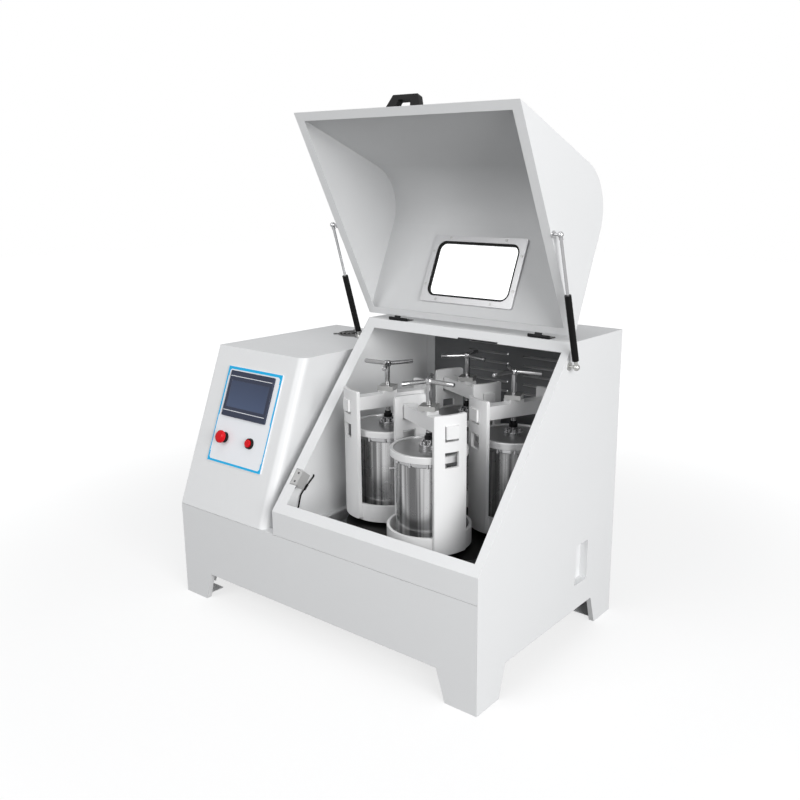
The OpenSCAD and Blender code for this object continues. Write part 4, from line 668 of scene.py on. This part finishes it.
def station(k):
    """Frame of jar station k: its axis, turned as the holder is."""
    angle = STATION_TURN + math.tau / len(STATIONS) * (k - 1)
    place = TURN_AXIS + Vector((STATION_R * math.cos(angle), STATION_R * math.sin(angle), 0))
    return Matrix.Translation(place) @ Matrix.Rotation(angle + HOLDER_TURN, 4, "Z")


def off_axis(place, k):
    """Distance of a place from the axis of jar station k."""
    return (Vector((place.x, place.y, 0)) - station(k).translation).length


def lid_fittings(bm, place):
    """Eight socket-head screws round the flange of the boss."""
    for i in range(8):
        angle = math.tau * (i + 0.5) / 8
        seat = place @ Matrix.Translation((BOSS_SCREWS_R * math.cos(angle),
                                           BOSS_SCREWS_R * math.sin(angle), BOSS_STEP - 0.0004))
        turned(bm, [(0, 0), (0.0034, 0), (0.0034, 0.0070), (0.0030, 0.0076), (0.0018, 0.0076),
                    (0.0018, 0.0050), (0, 0.0050)], seat, 18)


boss_steel = metal("turned_boss_steel", (0.66, 0.66, 0.67, 1), (0.16, 0.16, 0.163, 1),
                   (0.10, 0.22), along=(1, 1, 0.05), pitch=420.0, depth=0.00003)
plated_nut = metal("plated_nut", (0.64, 0.64, 0.63, 1), (0.42, 0.42, 0.415, 1), (0.28, 0.42),
                   along=(1, 1, 1), pitch=900.0)
holder_coat = coated("white_holder_coat", (0.79, 0.79, 0.79, 1), (0.85, 0.85, 0.85, 1),
                     (0.73, 0.73, 0.73, 1), rough=(0.26, 0.38), edge=0.0009, size=520.0)
for k in STATIONS:
    dressed(holder_coat, f"jar_holder_{k}", f"clamp_beam_{k}")
    second_finish(f"jar_holder_{k}", dark_steel, lambda c: c.z < SPINDLE_TOP)
    dressed(painted_reflection_jar_steel, f"jar_body_{k}")
    second_finish(f"jar_body_{k}", polished,
                  lambda c, k=k: c.z > JAR_COLLAR or off_axis(c, k) > JAR_R + 0.0005)
    dressed(lid_plate, f"jar_lid_{k}")
    second_finish(f"jar_lid_{k}", lid_rim_painted_reflection, lambda c, k=k: off_axis(c, k) > LID_FLAT_R)
    second_finish(f"jar_lid_{k}", boss_steel, lambda c: c.z > BOSS_FOOT)
    fittings = joined(f"jar_lid_fittings_{k}", [lambda bm, k=k: lid_fittings(bm, station(k))])
    fittings.data.materials.append(polished)
    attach(fittings, f"jar_{k}")
    second_finish(f"clamp_beam_{k}", plated_nut, lambda c: c.z > BEAM_TOP)

# Clamps
# A polished steel screw with a three-armed star handle runs through the nut on each beam and
# presses a knurled pad of blackened steel on the boss of the jar lid. The star is welded from
# round bars.
SCREW_R = 0.0075
PITCH = 0.004
THREAD_DEPTH = 0.0011
THREAD_FROM = 0.6411
THREAD_TO = 0.722
SHANK_TO = 0.7745
PAD_LOW = 0.623
KNURLS = 36
KNURL_DEPTH = 0.00040
KNURL_FROM = 0.0105
KNURL_TO = 0.0175
KNURL_R = 0.0085
STAR_Z = 0.781
ARM_TILT = math.radians(90.5)
STAR_TURNS = (71, 68, 58, 27)


def thread(bm, place, low, high, shank):
    """A trapezoidal thread from low to high, then a plain shank up to its own height."""
    sides, rows = 28, 8
    count = int((high - low) / PITCH * rows)
    rings = []
    for row in range(count + 1):
        z = low + (high - low) * row / count
        ring = []
        for i in range(sides):
            turn = i / sides
            phase = ((z - low) / PITCH - turn) % 1.0
            ease = min(1.0, row / 6, (count - row) / 6)
            depth = THREAD_DEPTH * ease * min(1.0, max(0.0, 3.2 * abs(phase - 0.5) - 0.3) * 1.5)
            radius = SCREW_R - depth
            ring.append(bm.verts.new(place @ Vector((
                radius * math.cos(math.tau * turn), radius * math.sin(math.tau * turn), z))))
        rings.append(ring)
    rings.append([bm.verts.new(place @ Vector((
        SCREW_R * math.cos(math.tau * i / sides), SCREW_R * math.sin(math.tau * i / sides), shank)))
        for i in range(sides)])
    for a, b in zip(rings, rings[1:]):
        for i in range(sides):
            j = (i + 1) % sides
            bm.faces.new((a[i], a[j], b[j], b[i]))
    bm.faces.new(list(reversed(rings[0])))
    bm.faces.new(rings[-1])


def star_screw(bm, place, turn):
    """Thread, journal in the pad, hub and three arms of one clamp screw."""
    thread(bm, place, THREAD_FROM, THREAD_TO, SHANK_TO)
    turned(bm, [(0, 0.62805), (0.005, 0.62805), (0.0055, 0.6286), (0.0055, 0.6416), (0, 0.6416)],
           place, 24)
    turned(bm, [(0, 0.7725), (0.0092, 0.7725), (0.0106, 0.7740), (0.0114, 0.7770), (0.0115, 0.7840),
                (0.0106, 0.7868), (0.0082, 0.7886), (0.0050, 0.7894), (0, 0.7895)], place, 32)
    for arm in range(3):
        lie = (place @ Matrix.Translation((0, 0, STAR_Z))
               @ Matrix.Rotation(math.radians(turn + 120 * arm), 4, "Z")
               @ Matrix.Rotation(ARM_TILT, 4, "Y"))
        turned(bm, [(0, 0.002), (0.0058, 0.002), (0.0060, 0.016), (0.0063, 0.032), (0.0065, 0.056),
                    (0.0065, 0.0760), (0.0058, 0.0790), (0.0044, 0.0800), (0, 0.0800)], lie, 24)


def knurled_pad(bm, place):
    """Pressure pad: a knurled collar on a wider foot, bored for the end of the screw."""
    sides = 2 * KNURLS
    outline = [(0.0056, 0.0051), (0.0056, 0.0180), (0.0080, 0.0180), (0.0089, 0.0172),
               (0.0090, 0.0160), (0.0090, 0.0112), (0.0092, 0.0100), (0.0116, 0.0090),
               (0.0124, 0.0080), (0.0124, 0.0016), (0.0117, 0.0004), (0.0108, 0.0), (0.0, 0.0)]
    rings = []
    for radius, z in outline:
        if radius < 1e-6:
            rings.append([bm.verts.new(place @ Vector((0, 0, PAD_LOW + z)))])
            continue
        ring = []
        for i in range(sides):
            knurled = KNURL_FROM < z < KNURL_TO and radius > KNURL_R
            out = radius - KNURL_DEPTH * (i % 2) if knurled else radius
            angle = math.tau * i / sides
            ring.append(bm.verts.new(place @ Vector((
                out * math.cos(angle), out * math.sin(angle), PAD_LOW + z))))
        rings.append(ring)
    for a, b in zip(rings, rings[1:]):
        for i in range(sides):
            j = (i + 1) % sides
            around = (a[i % len(a)], a[j % len(a)], b[j % len(b)], b[i % len(b)])
            bm.faces.new(list(dict.fromkeys(around)))
    bm.faces.new(rings[0])


star_steel = metal("turned_star_steel", (0.62, 0.62, 0.625, 1), (0.26, 0.26, 0.265, 1),
                   (0.08, 0.18), along=(0.3, 0.3, 1), pitch=1800.0, depth=0.000008)
black_oxide = metal("blackened_steel", (0.022, 0.022, 0.023, 1), (0.010, 0.010, 0.011, 1),
                    (0.34, 0.50), along=(1, 1, 1), pitch=800.0, shine=0.8)
chrome = metal("polished_chrome", (0.66, 0.66, 0.67, 1), (0.50, 0.50, 0.51, 1), (0.06, 0.16),
               along=(0.3, 0.3, 1), pitch=1800.0, depth=0.000006)
for k in STATIONS:
    star = joined(f"star_screw_{k}",
                  [lambda bm, k=k: star_screw(bm, station(k), STAR_TURNS[k - 1])])
    star.data.materials.append(star_steel)
    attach(star, f"clamp_spindle_{k}")
    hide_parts(f"clamp_screw_{k}")
    pad = joined(f"knurled_pad_{k}", [lambda bm, k=k: knurled_pad(bm, station(k))])
    pad.data.materials.append(black_oxide)
    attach(pad, f"clamp_pad_{k}")
    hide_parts(f"pressure_pad_{k}")

# Lid with its window
# The lid is folded from the same sheet, darker inside as painted shade, and swings on two black
# hinges.
# Its window is a clear pane in black rubber, held by an aluminium frame screwed on from inside.
# The handle is moulded in black plastic.
LID_MIDDLE = Vector((0.2, 0.0485, 1.2375))
HINGE = Vector((0.0, 0.072, 0.8872))
LID_SWING = math.radians(113.8)
SCREW_SEAT = 0.8719

dressed(white_coat, "lid_shell")
# painted shade: the lid's inner faces take a darker coat
painted_shade_inner_coat = coated("lid_inside_painted_shade", (0.67, 0.675, 0.68, 1), (0.75, 0.75, 0.75, 1),
                    (0.60, 0.605, 0.605, 1), rough=(0.42, 0.54))
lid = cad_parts["lid_shell"]
lid.data.materials.append(painted_shade_inner_coat)
for face in lid.data.polygons:
    if face.normal.dot(LID_MIDDLE - face.center) > 0:
        face.material_index = 1
frame_metal = metal("window_frame_aluminium", (0.72, 0.72, 0.73, 1), (0.56, 0.56, 0.57, 1),
                    (0.28, 0.40), along=(1, 0.2, 0.2), pitch=1400.0)
dressed(frame_metal, "window_frame")
shut = (Matrix.Translation(HINGE) @ Matrix.Rotation(LID_SWING, 4, "X")
        @ Matrix.Translation(-HINGE))
second_finish("window_frame", plated_nut, lambda c: (shut @ c).z < SCREW_SEAT)
dressed(rubber, "window_gasket")
dressed(black_plastic, "lid_handle")
eased("lid_handle", 0.0022)
dressed(black_oxide, "hinge_base_leaves", "hinge_lid_leaves")

clear, tree, shader = finish_named("clear_pane", IOR=1.46, Transmission_Weight=1.0,
                                   Base_Color=(0.975, 0.985, 0.985, 1))
grain = placed(tree, coat_grain, Size=60.0, Cloud=5.0)
tree.links.new(ranged(tree, grain["Tone"], 0.0, 0.05), shader.inputs["Roughness"])
dressed(clear, "window_pane")

# Gas struts
# Two gas struts hold the lid open: black lacquered tubes with chromed rods. Their plated
# sockets snap onto ball studs that are screwed to the chamber sides and to the lid sides.
LOW_BALL = (0.047, 0.822)
SOCKET_REACH = 0.018

strut_coat = coated("black_strut_lacquer", (0.003, 0.003, 0.003, 1), (0.015, 0.015, 0.015, 1),
                    (0.005, 0.005, 0.005, 1), rough=(0.30, 0.42), edge=0.0004, size=700.0, ior=1.25)
dressed(strut_coat, "strut_cylinder_left", "strut_cylinder_right")
for side in ("left", "right"):
    second_finish(f"strut_cylinder_{side}", zinc, lambda c: math.hypot(
        c.y - LOW_BALL[0], c.z - LOW_BALL[1]) < SOCKET_REACH)
dressed(chrome, "strut_rod_left", "strut_rod_right")
dressed(zinc, "strut_base_studs")

# Safety switch
# A cast and zinc-plated switch sits in a notch of the left rim and feels the closed lid. Two
# dark screws hold it. Its short black lead comes through the wall beside the switch's boot,
# lies along the wall and goes back through it lower down.
RIM_FOOT = Vector((0.0, -0.355, 0.372))
RIM_SLOPE = math.atan2(0.510, 0.422)
BOOT_END = 0.0915
SCREW_LEVEL = -0.0004
RIM_LEVEL = 0.0003
LEAD_R = 0.0022

switch_metal = metal("plated_switch_case", (0.66, 0.66, 0.655, 1), (0.40, 0.40, 0.395, 1),
                     (0.34, 0.50), along=(1, 1, 1), pitch=620.0, depth=0.00003, shine=0.5)
dressed(switch_metal, "safety_switch")
to_rim = (Matrix.Translation(RIM_FOOT) @ Matrix.Rotation(RIM_SLOPE, 4, "X")).inverted()
second_finish("safety_switch", dark_steel, lambda c: (to_rim @ c).z > SCREW_LEVEL)
second_finish("safety_switch", rubber, lambda c: (to_rim @ c).y < BOOT_END)

# the lid comes down on a small button of white rubber on the same rim
rest_rubber = plastic("white_rest_button", (0.86, 0.86, 0.85, 1), (0.40, 0.40, 0.40, 1), (0.4, 0.6),
                      900.0, 0.00004, 0.0008)
second_finish("chamber_shell", rest_rubber, lambda c: (to_rim @ c).z > RIM_LEVEL)

lead_points = [(-0.16435, -0.191, 0.436), (-0.16135, -0.191, 0.436), (-0.15875, -0.195, 0.4336),
               (-0.15675, -0.217, 0.420), (-0.15575, -0.239, 0.405), (-0.15675, -0.250, 0.392),
               (-0.15775, -0.256, 0.372), (-0.15875, -0.2586, 0.358), (-0.16135, -0.259, 0.353),
               (-0.16435, -0.259, 0.353)]
lead_curve = bpy.data.curves.new("switch_lead", "CURVE")
lead_curve.dimensions = "3D"
lead_curve.bevel_depth = LEAD_R
lead_curve.bevel_resolution = 5
lead_curve.use_fill_caps = True
line = lead_curve.splines.new("POLY")
line.points.add(len(lead_points) - 1)
for point, place in zip(line.points, lead_points):
    point.co = (*place, 1)
lead = bpy.data.objects.new("switch_lead", lead_curve)
bpy.context.scene.collection.objects.link(lead)
lead_curve.materials.append(rubber)
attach(lead, "machine")
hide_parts("switch_cable")
sleeve_from, sleeve_to = Vector(lead_points[3]), Vector(lead_points[4])
sleeve = joined("lead_sleeve", [lambda bm: turned(
    bm, [(0.0023, 0.001), (0.0046, 0.001), (0.0048, 0.003), (0.0042, 0.004), (0.0046, 0.005),
         (0.0046, 0.007), (0.0040, 0.008), (0.0044, 0.009), (0.0043, 0.011), (0.0038, 0.012),
         (0.0036, 0.020), (0.0023, 0.021)], turned_to(sleeve_to, sleeve_from - sleeve_to), 24)])
sleeve.data.materials.append(rubber)
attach(sleeve, "machine")
